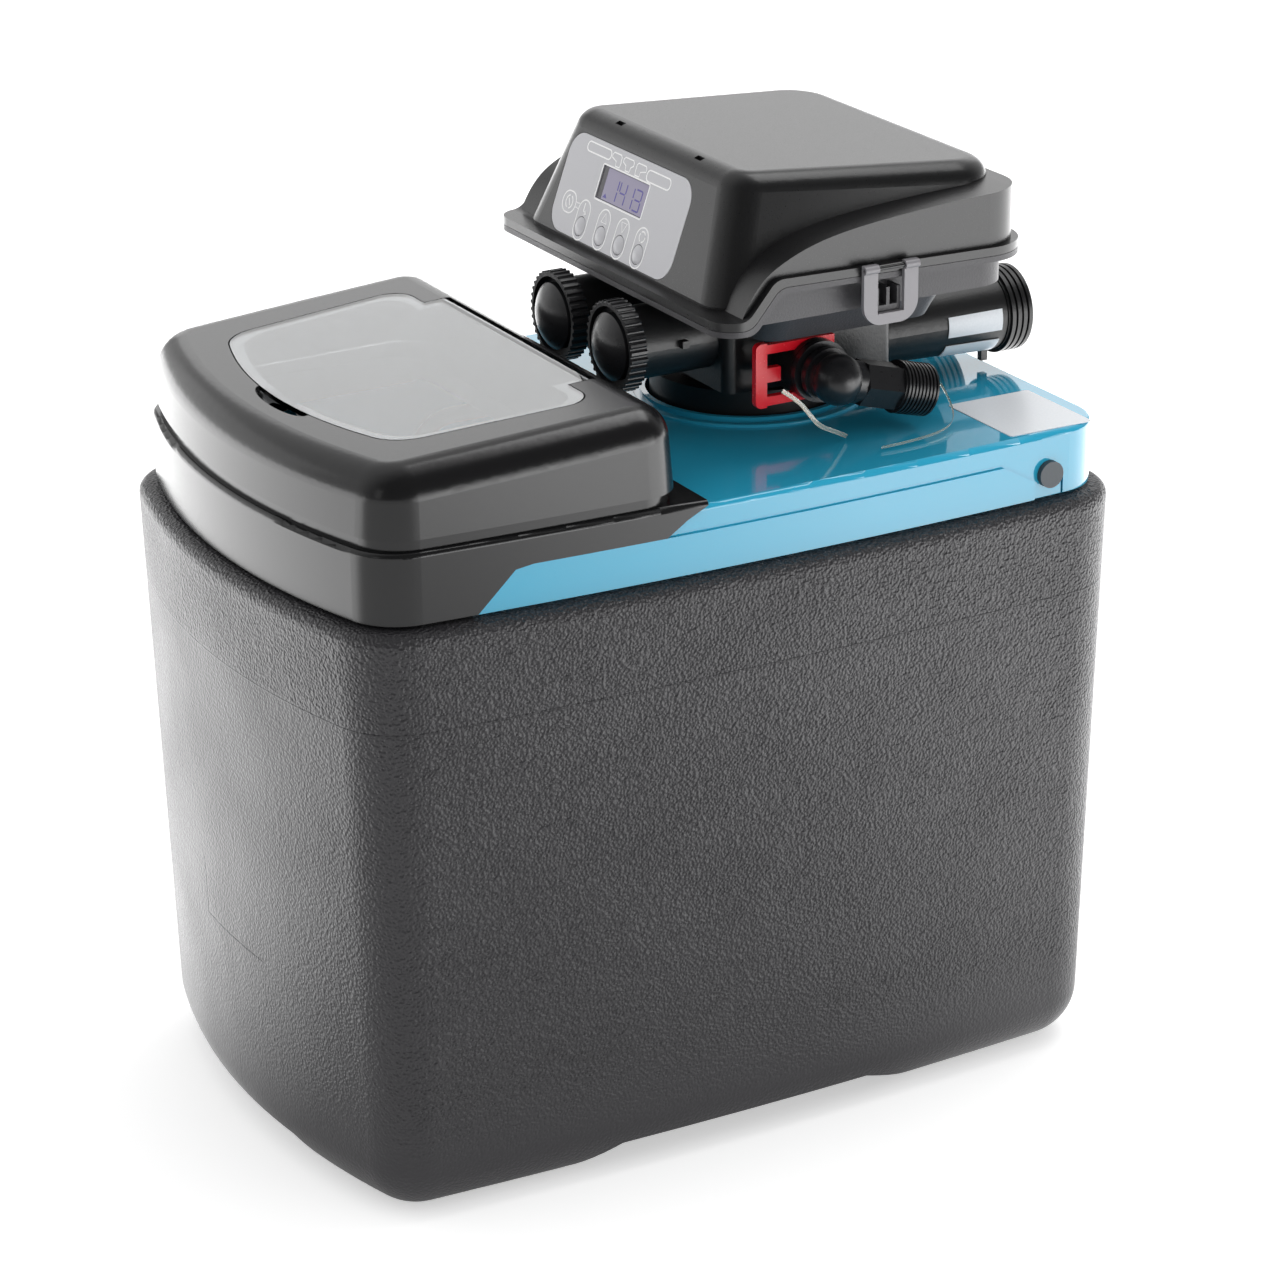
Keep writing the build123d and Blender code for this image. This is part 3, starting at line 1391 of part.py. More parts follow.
def valve_cover():
    low = rim_front_z - 2 * rim_width
    body = (head_column(0, low, rim_side_z + rim_width) & above_rim(rim_wall)) - above_rim(0)
    body += fender(0) & above_rim(rim_wall)
    body += (hood(0) + hood_foot(0, rim_front_z - rim_wall / 2, hood_low)) & above_rim(rim_wall)
    body -= fender(hood_wall)
    body -= hood(hood_wall) + hood_foot(hood_wall, low, hood_low)
    place = face_place()
    body -= place * Pos(0, 0, -pad_wall) * extrude(pad_outline(pad_gap), cut_over)
    body -= place * Pos(0, 0, -2 * cut_over) * extrude(lcd_outline(pad_gap), 4 * cut_over)
    for spot in key_places():
        body -= place * spot * Pos(0, 0, -2 * cut_over) * cylinder(key_r + pad_gap, 4 * cut_over)
    for spot in board_places():
        post = cylinder(board_post_r, board_depth - hood_wall / 2)
        post -= Pos(0, 0, -cut_over) * cylinder(board_screw_r + seat_gap, 2 * cut_over)
        body += place * spot * Pos(0, 0, -board_depth) * post
    for side in (-1, 1):
        body -= Pos(side * slot_x, slot_y, hood_low) * block(roof_slot_x, roof_slot_y, hood_top)
        body += mirrored(clip_tab(), side)
    return body


def side_clip(side):
    high = clip_top_z
    outline = Pos(clip_y, (high + clip_low_z) / 2) * Rectangle(2 * clip_half_width, high - clip_low_z)
    outline = fillet(outline.vertices().sort_by(Axis.Y)[:2], clip_half_width * 2 / 3)
    outline -= Pos(clip_y, high) * Rectangle(2 * clip_window_half, 2 * (high - clip_window_low))
    body = Pos(head_half + clip_gap, 0, 0) * extrude(Plane.YZ * outline, clip_plate_wall, dir=(1, 0, 0))
    hook_x = head_half + clip_gap - clip_hook / 2
    body += Pos(hook_x, clip_y, catch_low - part_gap - clip_hook_wall) * block(
        clip_hook + clip_plate_wall, 2 * clip_window_half, clip_hook_wall)
    arm = clip_half_width - clip_window_half
    for arm_y in (-clip_half_width, clip_window_half):
        body += clip_pin_place() * Pos(0, arm_y, 0) * along_y(cylinder(clip_barrel_r, arm))
    pin_half = clip_half_width + cut_over
    bore = Pos(0, -pin_half, 0) * along_y(cylinder(clip_pin_r + run_fit, 2 * pin_half))
    return mirrored(body - clip_pin_place() * bore, side)


keep("valve_cover", valve_cover())
keep("side_clip_right", side_clip(1))
keep("side_clip_left", side_clip(-1))


# Keypad overlay, display, keys and the board behind them.
def keypad():
    sheet = pad_outline(0) - lcd_outline(pad_gap / 2)
    for spot in key_places():
        sheet -= spot * Circle(key_r + pad_gap)
    return face_place() * Pos(0, 0, -pad_wall) * extrude(sheet, pad_wall)


def lcd():
    depth = board_depth - pad_wall / 2
    return face_place() * Pos(0, 0, -board_depth) * extrude(lcd_outline(-seat_gap / 2), depth)


def key(place):
    length = board_depth - key_travel - pad_wall / 2
    body = cylinder(key_r, length)
    dome_rise = key_dome
    dome_r = (key_r ** 2 + dome_rise ** 2) / (2 * dome_rise)
    dome = Pos(0, 0, length + dome_rise - dome_r) * Sphere(dome_r)
    body += dome & Pos(0, 0, length - pad_wall) * cylinder(key_r, dome_rise + pad_wall)
    return face_place() * place * Pos(0, 0, -length) * body


def circuit_board():
    plate = Pos(key_x, board_low + board_height / 2) * Rectangle(board_width, board_height)
    for spot in board_places():
        plate -= spot * Circle(board_screw_r + seat_gap)
    return face_place() * Pos(0, 0, -board_depth - board_wall) * extrude(plate, board_wall)


def board_screw(place):
    shank = board_wall + cut_over - part_gap
    body = cylinder(board_screw_r, shank + board_screw_head)
    body += cylinder(board_screw_head_r, board_screw_head)
    return face_place() * place * Pos(0, 0, -board_depth - board_wall - board_screw_head) * body


keep("keypad", keypad())
keep("lcd", lcd())
for number, place in enumerate(key_places(), start=1):
    keep(f"key_{number}", key(place))
keep("circuit_board", circuit_board())
keep("board_screws", Compound([board_screw(place) for place in board_places()]))


# Head tray: textured pan between the valve body and the cover, with a matching rim.
tray_wall = 3.0
tray_floor_z = shoulder_z
tray_low_half = 95.0
tray_low_front_y = 37.0
tray_low_rear_y = 143.0
tray_mid_z = 466.0
tray_mid_half = 117.0
tray_mid_front_y = 32.0
tray_mid_rear_y = 147.0
tray_pan_z = 452.5
tray_pan_inset = 10.0
tray_rim = 3.4
tray_round = 12.0
gland_x = -70.0
gland_z = 460.3
gland_r = 4.6
gland_lip_r = 6.8
gland_bore_r = 2.6
gland_lip = 2.5


def tray_tub(shrink):
    """Lower tub of the tray that hangs round the valve's block."""
    low = Pos(0, (tray_low_front_y + tray_low_rear_y) / 2, tray_floor_z + shrink)
    high = Pos(0, (tray_mid_front_y + tray_mid_rear_y) / 2, tray_mid_z)
    corner = tray_round - shrink
    low_face = RectangleRounded(2 * (tray_low_half - shrink), tray_low_rear_y - tray_low_front_y - 2 * shrink, corner)
    high_face = RectangleRounded(2 * (tray_mid_half - shrink), tray_mid_rear_y - tray_mid_front_y - 2 * shrink, corner)
    return loft([low * low_face, high * high_face], ruled=True)


def catch(side):
    """Ribbed catch on the tray's side that a clip hooks under."""
    depth = head_half - tray_low_half
    body = Pos(tray_low_half + depth / 2, clip_y, catch_low) * block(depth, 2 * clip_window_half - 2 * part_gap, tray_wall)
    pitch = (2 * clip_window_half - 2 * part_gap - catch_rib) / (catch_ribs - 1)
    for number in range(catch_ribs):
        rib_y = clip_y + (number - (catch_ribs - 1) / 2) * pitch
        body += Pos(tray_low_half + depth / 2, rib_y, catch_low) * block(depth, catch_rib, catch_high - catch_low)
    return mirrored(body, side)


def head_tray():
    high = rim_side_z + rim_width
    body = tray_tub(0) + head_column(tray_pan_inset, tray_pan_z, high)
    body += head_column(0, rim_front_z - 3 * rim_width, high) & above_rim(rim_wall + tray_rim)
    body -= above_rim(rim_wall + seat_gap)
    body += catch(1) + catch(-1)
    hollow = tray_tub(tray_wall) + head_column(tray_pan_inset + tray_wall, tray_pan_z + tray_wall, high)
    body -= hollow
    body -= block_between(block_half + part_gap, upper_front_y - block_round, upper_rear_y + part_gap,
                          tray_floor_z - cut_over, block_top + part_gap, block_round)
    for spot_x, spot_y in screw_spots:
        body -= Pos(spot_x, spot_y, tray_floor_z - cut_over) * cylinder(screw_r + seat_gap, 2 * cut_over + tray_wall)
    rear = Pos(gland_x, head_rear_y - tray_pan_inset - 2 * tray_wall, gland_z)
    return body - rear * along_y(cylinder(gland_r + seat_gap, 4 * tray_wall))


def tray_screw(x, y):
    body = Pos(0, 0, tray_wall - screw_depth + part_gap) * cylinder(screw_r, screw_depth)
    body += Pos(0, 0, tray_wall) * cylinder(screw_head_r, screw_head)
    return Pos(x, y, tray_floor_z) * body


def lead_gland():
    body = Pos(0, 0, -tray_wall - gland_lip) * cylinder(gland_r, tray_wall + gland_lip)
    body += cylinder(gland_lip_r, gland_lip)
    body -= Pos(0, 0, -tray_wall - 2 * gland_lip) * cylinder(gland_bore_r, tray_wall + 4 * gland_lip)
    return Pos(gland_x, head_rear_y - tray_pan_inset, gland_z) * along_y(body)


keep("head_tray", head_tray())
keep("tray_screws", Compound([tray_screw(x, y) for x, y in screw_spots]))
keep("lead_gland", lead_gland())


# Blank labels: one on the deck, two wrapped on the right port's pipe.
label_wall = 0.4
label_x = 113.0
label_y = 188.5
label_width = 62.0
label_length = 53.0
label_round = 2.0
pipe_label_front_y = 181.0
pipe_label_length = 35.0
upper_label_low = -14.0
upper_label_high = 18.0
lower_label_low = -62.0
lower_label_high = -30.0


def deck_label():
    return Pos(label_x, label_y, deck_top) * rounded_block(label_width, label_length, label_wall, label_round)


def pipe_radius(y):
    share = (y - pipe_front_y) / (port_end_y - thread_length - pipe_front_y)
    return pipe_front_r + (pipe_rear_r - pipe_front_r) * share


def pipe_label(low, high):
    """Conical patch wrapped round the right pipe between two angles."""
    start_r = pipe_radius(pipe_label_front_y) + seat_gap
    end_r = pipe_radius(pipe_label_front_y + pipe_label_length) + seat_gap
    length = pipe_label_length
    patch = Pos(0, 0, length / 2) * Cone(start_r + label_wall, end_r + label_wall, length)
    patch -= Pos(0, 0, length / 2) * Cone(start_r, end_r, length)
    reach = 2 * pipe_rear_r
    spread = [(0, 0), (reach * cos(radians(low)), -reach * sin(radians(low))),
              (reach * cos(radians(high)), -reach * sin(radians(high)))]
    patch &= extrude(make_face(Polyline(*spread, close=True)), length)
    return Pos(port_x, pipe_label_front_y, port_z) * along_y(patch)


keep("deck_label", deck_label())
keep("port_labels", Compound([pipe_label(upper_label_low, upper_label_high), pipe_label(lower_label_low, lower_label_high)]))


if __name__ == "__main__":
    os.makedirs("parts", exist_ok=True)
    for name, shape in nodes.items():
        export_step(shape, f"parts/{name}.step")
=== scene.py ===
import math

import bmesh
import bpy
from mathutils import Matrix, Vector


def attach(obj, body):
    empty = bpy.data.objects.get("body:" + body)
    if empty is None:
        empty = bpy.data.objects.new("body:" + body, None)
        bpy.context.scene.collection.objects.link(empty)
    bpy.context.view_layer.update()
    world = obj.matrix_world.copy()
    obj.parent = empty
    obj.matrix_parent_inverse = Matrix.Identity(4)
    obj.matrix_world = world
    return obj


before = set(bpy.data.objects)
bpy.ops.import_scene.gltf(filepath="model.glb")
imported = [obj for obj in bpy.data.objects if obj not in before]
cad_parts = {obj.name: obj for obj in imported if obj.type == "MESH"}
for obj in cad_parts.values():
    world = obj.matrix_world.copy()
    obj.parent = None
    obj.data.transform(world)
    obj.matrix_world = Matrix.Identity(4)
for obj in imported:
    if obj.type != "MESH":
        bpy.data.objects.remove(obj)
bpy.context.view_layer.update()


# Cabinet. One blow-moulded box of black polyethylene that holds the salt, the brine and the resin tank. Its
# mould leaves a pebbled grain, a parting line all round below the rim and a square pad low on the front. The
# rounded rim is folded inwards and carries the deck.
MM = 0.001


def linear(text):
    """An sRGB hex colour as linear red, green, blue and alpha."""
    parts = [int(text[i:i + 2], 16) / 255 for i in (1, 3, 5)]
    return [v / 12.92 if v <= 0.04045 else ((v + 0.055) / 1.055) ** 2.4 for v in parts] + [1.0]


def add(tree, kind, inputs=None, **settings):
    """Adds one node. Each input is given a value, a socket, or a node whose first output it takes."""
    made = tree.nodes.new(kind)
    for key, value in settings.items():
        setattr(made, key, value)
    for key, source in (inputs or {}).items():
        if isinstance(source, bpy.types.Node):
            source = source.outputs[0]
        if isinstance(source, bpy.types.NodeSocket):
            tree.links.new(source, made.inputs[key])
        else:
            made.inputs[key].default_value = source
    return made


def surface(name, colour, **values):
    """A new material with its colour and other shader values: returns it, its tree and object coordinates."""
    material = bpy.data.materials.new(name)
    material.use_nodes = True
    tree = material.node_tree
    shader = tree.nodes["Principled BSDF"]
    shader.inputs["Base Color"].default_value = linear(colour)
    for key, value in values.items():
        shader.inputs[key.replace("_", " ")].default_value = value
    place = add(tree, "ShaderNodeTexCoord").outputs["Object"]
    return material, tree, place


def vary(tree, **sources):
    """Lets nodes set inputs of the material's shader, each by its first output."""
    shader = tree.nodes["Principled BSDF"]
    for key, source in sources.items():
        tree.links.new(source.outputs[0], shader.inputs[key.replace("_", " ")])


def dress(material, *names):
    """Puts a material on nodes of the CAD model."""
    for name in names:
        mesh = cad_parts[name].data
        mesh.materials.clear()
        mesh.materials.append(material)


def band(tree, value, middle, half, soft):
    """1 where the value is within half of the middle, fading to 0 over soft."""
    apart = add(tree, "ShaderNodeMath", {0: value, 1: middle}, operation="SUBTRACT")
    distance = add(tree, "ShaderNodeMath", {0: apart}, operation="ABSOLUTE")
    return add(tree, "ShaderNodeMapRange",
               {"Value": distance, "From Min": half, "From Max": half + soft, "To Min": 1.0, "To Max": 0.0})


def mould_line(tree, across, across_at, half, soft, along, along_at, reach, fade):
    """A straight mould line: thin across one coordinate and of limited reach along the other."""
    thin = band(tree, across, across_at, half, soft)
    short = band(tree, along, along_at, reach, fade)
    return add(tree, "ShaderNodeMath", {0: thin, 1: short}, operation="MULTIPLY")


# Blow-moulded polyethylene is dull and near black, and its pebbles scatter what it reflects.
pebble_width = 1.7 * MM
grit_width = 1.4 * MM
grit_share = 0.5
wear_width = 60 * MM
pebble_depth = 1.4 * MM
polyethylene, tree, place = surface("polyethylene_blow_moulded", "#2b2a2d", Roughness=0.4)
x, y, z = add(tree, "ShaderNodeSeparateXYZ", {0: place}).outputs
pebble = add(tree, "ShaderNodeTexVoronoi", {"Vector": place, "Scale": 1 / pebble_width, "Smoothness": 0.7},
             feature="SMOOTH_F1")
grit = add(tree, "ShaderNodeTexNoise", {"Vector": place, "Scale": 1 / grit_width, "Detail": 2.0})
grit = add(tree, "ShaderNodeMath", {0: grit, 1: grit_share}, operation="MULTIPLY")
grain = add(tree, "ShaderNodeMath", {0: pebble, 1: grit}, operation="ADD")

# The grain is shallower in worn patches, low on the walls and on the front below the parting line.
foot_low, foot_high = 30 * MM, 70 * MM
front_far, front_near = -194 * MM, -238 * MM
rim_low, rim_high = 281 * MM, 285 * MM
worn = add(tree, "ShaderNodeTexNoise", {"Vector": place, "Scale": 1 / wear_width, "Detail": 2.0})
worn_depth = add(tree, "ShaderNodeMapRange",
                 {"Value": worn, "From Min": 0.35, "From Max": 0.65, "To Min": 0.8, "To Max": 1.0})
foot_depth = add(tree, "ShaderNodeMapRange",
                 {"Value": z, "From Min": foot_low, "From Max": foot_high, "To Min": 0.25, "To Max": 1.0})
front_depth = add(tree, "ShaderNodeMapRange",
                  {"Value": y, "From Min": front_near, "From Max": front_far, "To Min": 0.35, "To Max": 1.0})
rim_depth = add(tree, "ShaderNodeMapRange",
                {"Value": z, "From Min": rim_low, "From Max": rim_high, "To Min": 0.0, "To Max": 0.75})
front_depth = add(tree, "ShaderNodeMath", {0: front_depth, 1: rim_depth}, operation="MAXIMUM")
wall_depth = add(tree, "ShaderNodeMath", {0: foot_depth, 1: front_depth}, operation="MULTIPLY")
wall_depth = add(tree, "ShaderNodeMath", {0: worn_depth, 1: wall_depth}, operation="MULTIPLY")
grain = add(tree, "ShaderNodeMath", {0: grain, 1: wall_depth}, operation="MULTIPLY")
grained = add(tree, "ShaderNodeBump", {"Height": grain, "Strength": 1.0, "Distance": pebble_depth})

# The parting line stands proud all round with a fainter one above the feet. The front pad's left edge and
# lower edge, and a faint line up the middle, are sunk.
parting_z = 283 * MM
foot_line_z = 47 * MM
foot_line_share = 0.3
front_from, front_full = -209 * MM, -219 * MM
pad_left_x, pad_low_z = -33 * MM, 117 * MM
pad_middle_x, pad_middle_z = 4 * MM, 133.5 * MM
pad_half_width, pad_half_height = 37 * MM, 17 * MM
middle_line_z, middle_line_half = 69 * MM, 42 * MM
middle_line_share = 0.4
line_half, parting_fade, foot_line_fade = 0.2 * MM, 0.4 * MM, 0.8 * MM
pad_side_half, pad_line_fade, pad_side_end, pad_foot_end = 0.3 * MM, 0.7 * MM, 1 * MM, 2 * MM
middle_half, middle_fade, middle_end = 0.1 * MM, 0.5 * MM, 2 * MM
line_depth = 0.45 * MM
parting = band(tree, z, parting_z, line_half, parting_fade)
foot_line = band(tree, z, foot_line_z, line_half, foot_line_fade)
on_front = add(tree, "ShaderNodeMapRange", {"Value": y, "From Min": front_from, "From Max": front_full})
pad_side = mould_line(tree, x, pad_left_x, pad_side_half, pad_line_fade,
                      z, pad_middle_z, pad_half_height, pad_side_end)
pad_foot = mould_line(tree, z, pad_low_z, line_half, pad_line_fade,
                      x, pad_middle_x, pad_half_width, pad_foot_end)
middle_line = mould_line(tree, x, 0.0, middle_half, middle_fade,
                         z, middle_line_z, middle_line_half, middle_end)
middle_line = add(tree, "ShaderNodeMath", {0: middle_line, 1: middle_line_share}, operation="MULTIPLY")
sunk = add(tree, "ShaderNodeMath", {0: pad_foot, 1: middle_line}, operation="MAXIMUM")
sunk = add(tree, "ShaderNodeMath", {0: pad_side, 1: sunk}, operation="MAXIMUM")
sunk = add(tree, "ShaderNodeMath", {0: sunk, 1: on_front}, operation="MULTIPLY")
proud = add(tree, "ShaderNodeMath", {0: foot_line, 1: foot_line_share}, operation="MULTIPLY")
proud = add(tree, "ShaderNodeMath", {0: parting, 1: proud}, operation="MAXIMUM")
lines = add(tree, "ShaderNodeMath", {0: proud, 1: sunk}, operation="SUBTRACT")
lined = add(tree, "ShaderNodeBump",
            {"Height": lines, "Normal": grained, "Strength": 0.9, "Distance": line_depth})
shine = add(tree, "ShaderNodeMapRange",
            {"Value": worn, "From Min": 0.3, "From Max": 0.7, "To Min": 0.38, "To Max": 0.43})
vary(tree, Normal=lined, Roughness=shine)
dress(polyethylene, "cabinet")


# Resin tank and what stands in it. The tank is wound glass fibre in blue resin over a plastic liner, on a
# black rubber boot. The riser and its strainers are natural polypropylene and the bed is amber resin beads.
# Wound fibre shows as bands of lighter and darker blue under a clear coat.
strand_width = 9 * MM
wound, tree, place = surface("glass_fibre_wound", "#1d4f86", Roughness=0.3, Coat_Weight=0.3)
strands = add(tree, "ShaderNodeTexWave",
              {"Vector": place, "Scale": 1 / strand_width, "Distortion": 3.0, "Detail": 2.0},
              bands_direction="Z").outputs["Fac"]
tint = add(tree, "ShaderNodeMixRGB",
           {"Fac": strands, "Color1": linear("#184474"), "Color2": linear("#2b66a3")})
wind = add(tree, "ShaderNodeBump", {"Height": strands, "Strength": 0.3, "Distance": 0.3 * MM})
vary(tree, Base_Color=tint, Normal=wind)
dress(wound, "resin_tank")

# Moulded rubber is dull black with a cloudy bloom.
bloom_width = 4 * MM
rubber, tree, place = surface("epdm_rubber_moulded", "#1a1a1a", Roughness=0.65)
bloom = add(tree, "ShaderNodeTexNoise", {"Vector": place, "Scale": 1 / bloom_width, "Detail": 3.0})
dull = add(tree, "ShaderNodeMapRange", {"Value": bloom, "To Min": 0.55, "To Max": 0.75})
vary(tree, Roughness=dull)
dress(rubber, "tank_base", "neck_seal", "stack_seals", "drain_seal", "lead_gland")

# Natural polypropylene is milky white, slightly cloudy, with light going a little way into it.
cloud_width = 12 * MM
natural, tree, place = surface("polypropylene_natural", "#dcdcd6", Roughness=0.38, Subsurface_Weight=0.05)
cloud = add(tree, "ShaderNodeTexNoise", {"Vector": place, "Scale": 1 / cloud_width, "Detail": 2.0})
milky = add(tree, "ShaderNodeMixRGB",
            {"Fac": cloud, "Color1": linear("#cfcfc8"), "Color2": linear("#e6e6e1")})
vary(tree, Base_Color=milky)
dress(natural, "riser_tube", "bottom_basket", "top_basket", "brine_well", "well_cap", "air_check",
      "pickup_tube", "float", "float_rod", "salt_grid", "brine_nut", "spacer_stack", "piston", "drive_gear",
      "motor_pinion", "bypass_rotor_right", "bypass_rotor_left", "meter_cage", "meter_turbine")

# Resin beads are smooth amber grains. Most real ones are under 1 mm wide, and these are coarser so as to show.
bead_width = 1.6 * MM
bead_height = 0.8 * MM
beads, tree, place = surface("ion_resin_beads", "#c08842", Roughness=0.35)
bead = add(tree, "ShaderNodeTexVoronoi", {"Vector": place, "Scale": 1 / bead_width})
amber = add(tree, "ShaderNodeMixRGB", {"Fac": bead, "Color1": linear("#a8702c"), "Color2": linear("#d9a04e")})
domes = add(tree, "ShaderNodeBump", {"Height": bead, "Strength": 0.8, "Distance": bead_height}, invert=True)
vary(tree, Base_Color=amber, Normal=domes)
dress(beads, "resin_bed")


# Deck. A high-gloss blue ABS moulding over the tank, with a raised ring round its neck hole, a step along
# each side and a grey rubber plug in the overflow hole at each side. A blank foil label sits at its rear.
# Polished ABS mirrors the room, and its slow flow waves bend the mirror image.
flow_width = 45 * MM
flow_depth = 1.5 * MM
blue_abs, tree, place = surface("abs_blue_polished", "#2ea3c6", Roughness=0.07, Coat_Weight=0.6,
                                Coat_Roughness=0.03)
flow = add(tree, "ShaderNodeTexNoise", {"Vector": place, "Scale": 1 / flow_width, "Detail": 1.0})
wavy = add(tree, "ShaderNodeBump", {"Height": flow, "Strength": 0.06, "Distance": flow_depth})
handled = add(tree, "ShaderNodeMapRange",
              {"Value": flow, "From Min": 0.35, "From Max": 0.7, "To Min": 0.05, "To Max": 0.11})
vary(tree, Normal=wavy, Roughness=handled)
dress(blue_abs, "deck")

# The plugs' soft moulded rubber is grey with a fine speckle.
speck_width = 0.8 * MM
plug_rubber, tree, place = surface("tpe_plug_moulded", "#3b4146", Roughness=0.5)
speck = add(tree, "ShaderNodeTexNoise", {"Vector": place, "Scale": 1 / speck_width})
speckled = add(tree, "ShaderNodeBump", {"Height": speck, "Strength": 0.2, "Distance": 0.2 * MM})
vary(tree, Normal=speckled)
dress(plug_rubber, "deck_plugs")

# Label foil is pale silver grey, faintly mottled and unprinted.
fibre_width = 1.2 * MM
foil, tree, place = surface("label_foil_blank", "#dfe3e8", Roughness=0.32)
fibre = add(tree, "ShaderNodeTexNoise", {"Vector": place, "Scale": 1 / fibre_width, "Detail": 2.0})
pale = add(tree, "ShaderNodeMixRGB", {"Fac": fibre, "Color1": linear("#d6dbe0"), "Color2": linear("#e6e9ed")})
vary(tree, Base_Color=pale)
dress(foil, "deck_label", "port_labels")


# Hatch frame and salt lid. Both are moulded in black ABS. The frame clips over the cabinet's rim and the lid
# lifts off it. Their satin grain blurs what they reflect.
def satin(name, colour, roughness, grit, strength):
    """Moulded plastic with an even grain of that width in millimetres, which blurs what it reflects."""
    material, tree, place = surface(name, colour, Roughness=roughness)
    specks = add(tree, "ShaderNodeTexNoise",
                 {"Vector": place, "Scale": 1 / (grit * MM), "Detail": 3.0, "Roughness": 0.6})
    grain = add(tree, "ShaderNodeBump",
                {"Height": specks, "Strength": strength, "Distance": 0.25 * grit * MM})
    blur = add(tree, "ShaderNodeMapRange", {"Value": specks, "From Min": 0.3, "From Max": 0.7,
                                            "To Min": roughness - 0.03, "To Max": roughness + 0.04})
    vary(tree, Normal=grain, Roughness=blur)
    return material


satin_abs = satin("abs_black_satin", "#131314", roughness=0.22, grit=0.9, strength=0.08)
dress(satin_abs, "hatch_frame", "salt_lid")


# Refill window and metal parts. The window is one clear SAN moulding that swings on two plated steel pins in
# the lid. The same plated steel serves for the piston's rod, the screws and the drive motor's can.
# Moulded SAN is clear and mirror smooth, and slow sink marks bend what is seen through it.
sink_width = 70 * MM
clear_san, tree, place = surface("san_clear_moulded", "#eef1f3", Roughness=0.0, IOR=1.57,
                                 Transmission_Weight=1.0)
sink = add(tree, "ShaderNodeTexNoise", {"Vector": place, "Scale": 1 / sink_width})
sunken = add(tree, "ShaderNodeBump", {"Height": sink, "Strength": 0.01, "Distance": 1.0 * MM})
vary(tree, Normal=sunken)
dress(clear_san, "lid_window")

# Zinc-plated steel is a bright grey metal whose fine tool marks vary its shine.
tool_mark_width = 0.5 * MM
steel, tree, place = surface("steel_zinc_plated", "#b9bbbd", Metallic=1.0, Roughness=0.28)
tool_marks = add(tree, "ShaderNodeTexNoise", {"Vector": place, "Scale": 1 / tool_mark_width})
scored = add(tree, "ShaderNodeMapRange", {"Value": tool_marks, "To Min": 0.2, "To Max": 0.4})
vary(tree, Roughness=scored)
dress(steel, "window_hinge_pins", "piston_rod", "board_screws", "tray_screws", "drive_motor")


# Valve body and brine fittings. The body, its stack cap, the drive bracket, the safety valve and the injector
# are moulded in glass-filled black polymer, dull with a coarse grain. The brine tube is black polyethylene.
filled = satin("noryl_glass_filled", "#161617", roughness=0.36, grit=1.6, strength=0.25)
dress(filled, "valve_body", "stack_cap", "drive_bracket", "safety_valve", "injector")
tube = satin("polyethylene_tube_black", "#1c1c1d", roughness=0.34, grit=2.0, strength=0.08)
dress(tube, "brine_tube")


# Head tray and valve cover. The tray is coarse spark-eroded black ABS, and the cover is the same plastic with
# a finer grain. A dark grey acetal latch at each side holds the cover down.
tray_grain = satin("abs_black_spark_eroded", "#3c3b3e", roughness=0.46, grit=1.3, strength=0.6)
dress(tray_grain, "head_tray")
cover_grain = satin("abs_black_fine_grain", "#151516", roughness=0.3, grit=0.8, strength=0.16)
dress(cover_grain, "valve_cover")
latch_grey = satin("acetal_dark_grey", "#858387", roughness=0.33, grit=1.0, strength=0.1)
dress(latch_grey, "side_clip_right", "side_clip_left")


# Keypad. A silver polyester film is stuck in a recess of the hood's sloped face, with four domed keys under
# it. Its white print is outlines and symbols only: five fields, a frame, a pill for each key and a round key.
# The film is metallic-looking without being a mirror, with a very fine flake.
flake_width = 0.6 * MM
film, tree, place = surface("polyester_film_silver", "#c3c3c7", Roughness=0.34)
flake = add(tree, "ShaderNodeTexNoise", {"Vector": place, "Scale": 1 / flake_width})
flaked = add(tree, "ShaderNodeBump", {"Height": flake, "Strength": 0.08, "Distance": 0.1 * MM})
vary(tree, Normal=flaked)
dress(film, "keypad", "key_1", "key_2", "key_3", "key_4")

# Screen-printed ink is matt white and keeps faint marks of the screen's mesh.
screen_width = 0.4 * MM
ink, tree, place = surface("screen_ink_white", "#fdfdfd", Roughness=0.5)
screen = add(tree, "ShaderNodeTexNoise", {"Vector": place, "Scale": 1 / screen_width})
screened = add(tree, "ShaderNodeBump", {"Height": screen, "Strength": 0.1, "Distance": 0.05 * MM})
vary(tree, Normal=screened)

# The film's face, by a point on the line where the hood's slope starts, at the middle of the keys, and by its
# lean. Marks on it are placed in millimetres across and up from there.
face_run = 0.357
face_tilt = math.atan2(1.0, face_run)
face_foot = Vector((-12.5 * MM, 6 * MM, 461 * MM))
face_up = Vector((0.0, math.cos(face_tilt), math.sin(face_tilt)))
face_out = Vector((0.0, -math.sin(face_tilt), math.cos(face_tilt)))
film_low = 0.8
ink_lift = 0.06
ink_depth = 0.12
ink_width = 0.8


def on_film(across, up, out):
    """A point of the film, in millimetres across, up its slope and out of it."""
    return face_foot + Vector((across * MM, 0, 0)) + face_up * (up + film_low) * MM + face_out * out * MM


def pill(x, y, width, height, radius, steps=7):
    """Corners of a rounded rectangle, as points in order."""
    points = []
    for right, upper, start in ((1, 1, 0), (-1, 1, 90), (-1, -1, 180), (1, -1, 270)):
        for step in range(steps):
            turn = math.radians(start + 90 * step / (steps - 1))
            points.append((x + right * (width / 2 - radius) + radius * math.cos(turn),
                           y + upper * (height / 2 - radius) + radius * math.sin(turn)))
    return points


def arc(x, y, radius, start, end, steps=10):
    """Points along an arc, angles in degrees."""
    turns = [math.radians(start + (end - start) * step / steps) for step in range(steps + 1)]
    return [(x + radius * math.cos(turn), y + radius * math.sin(turn)) for turn in turns]


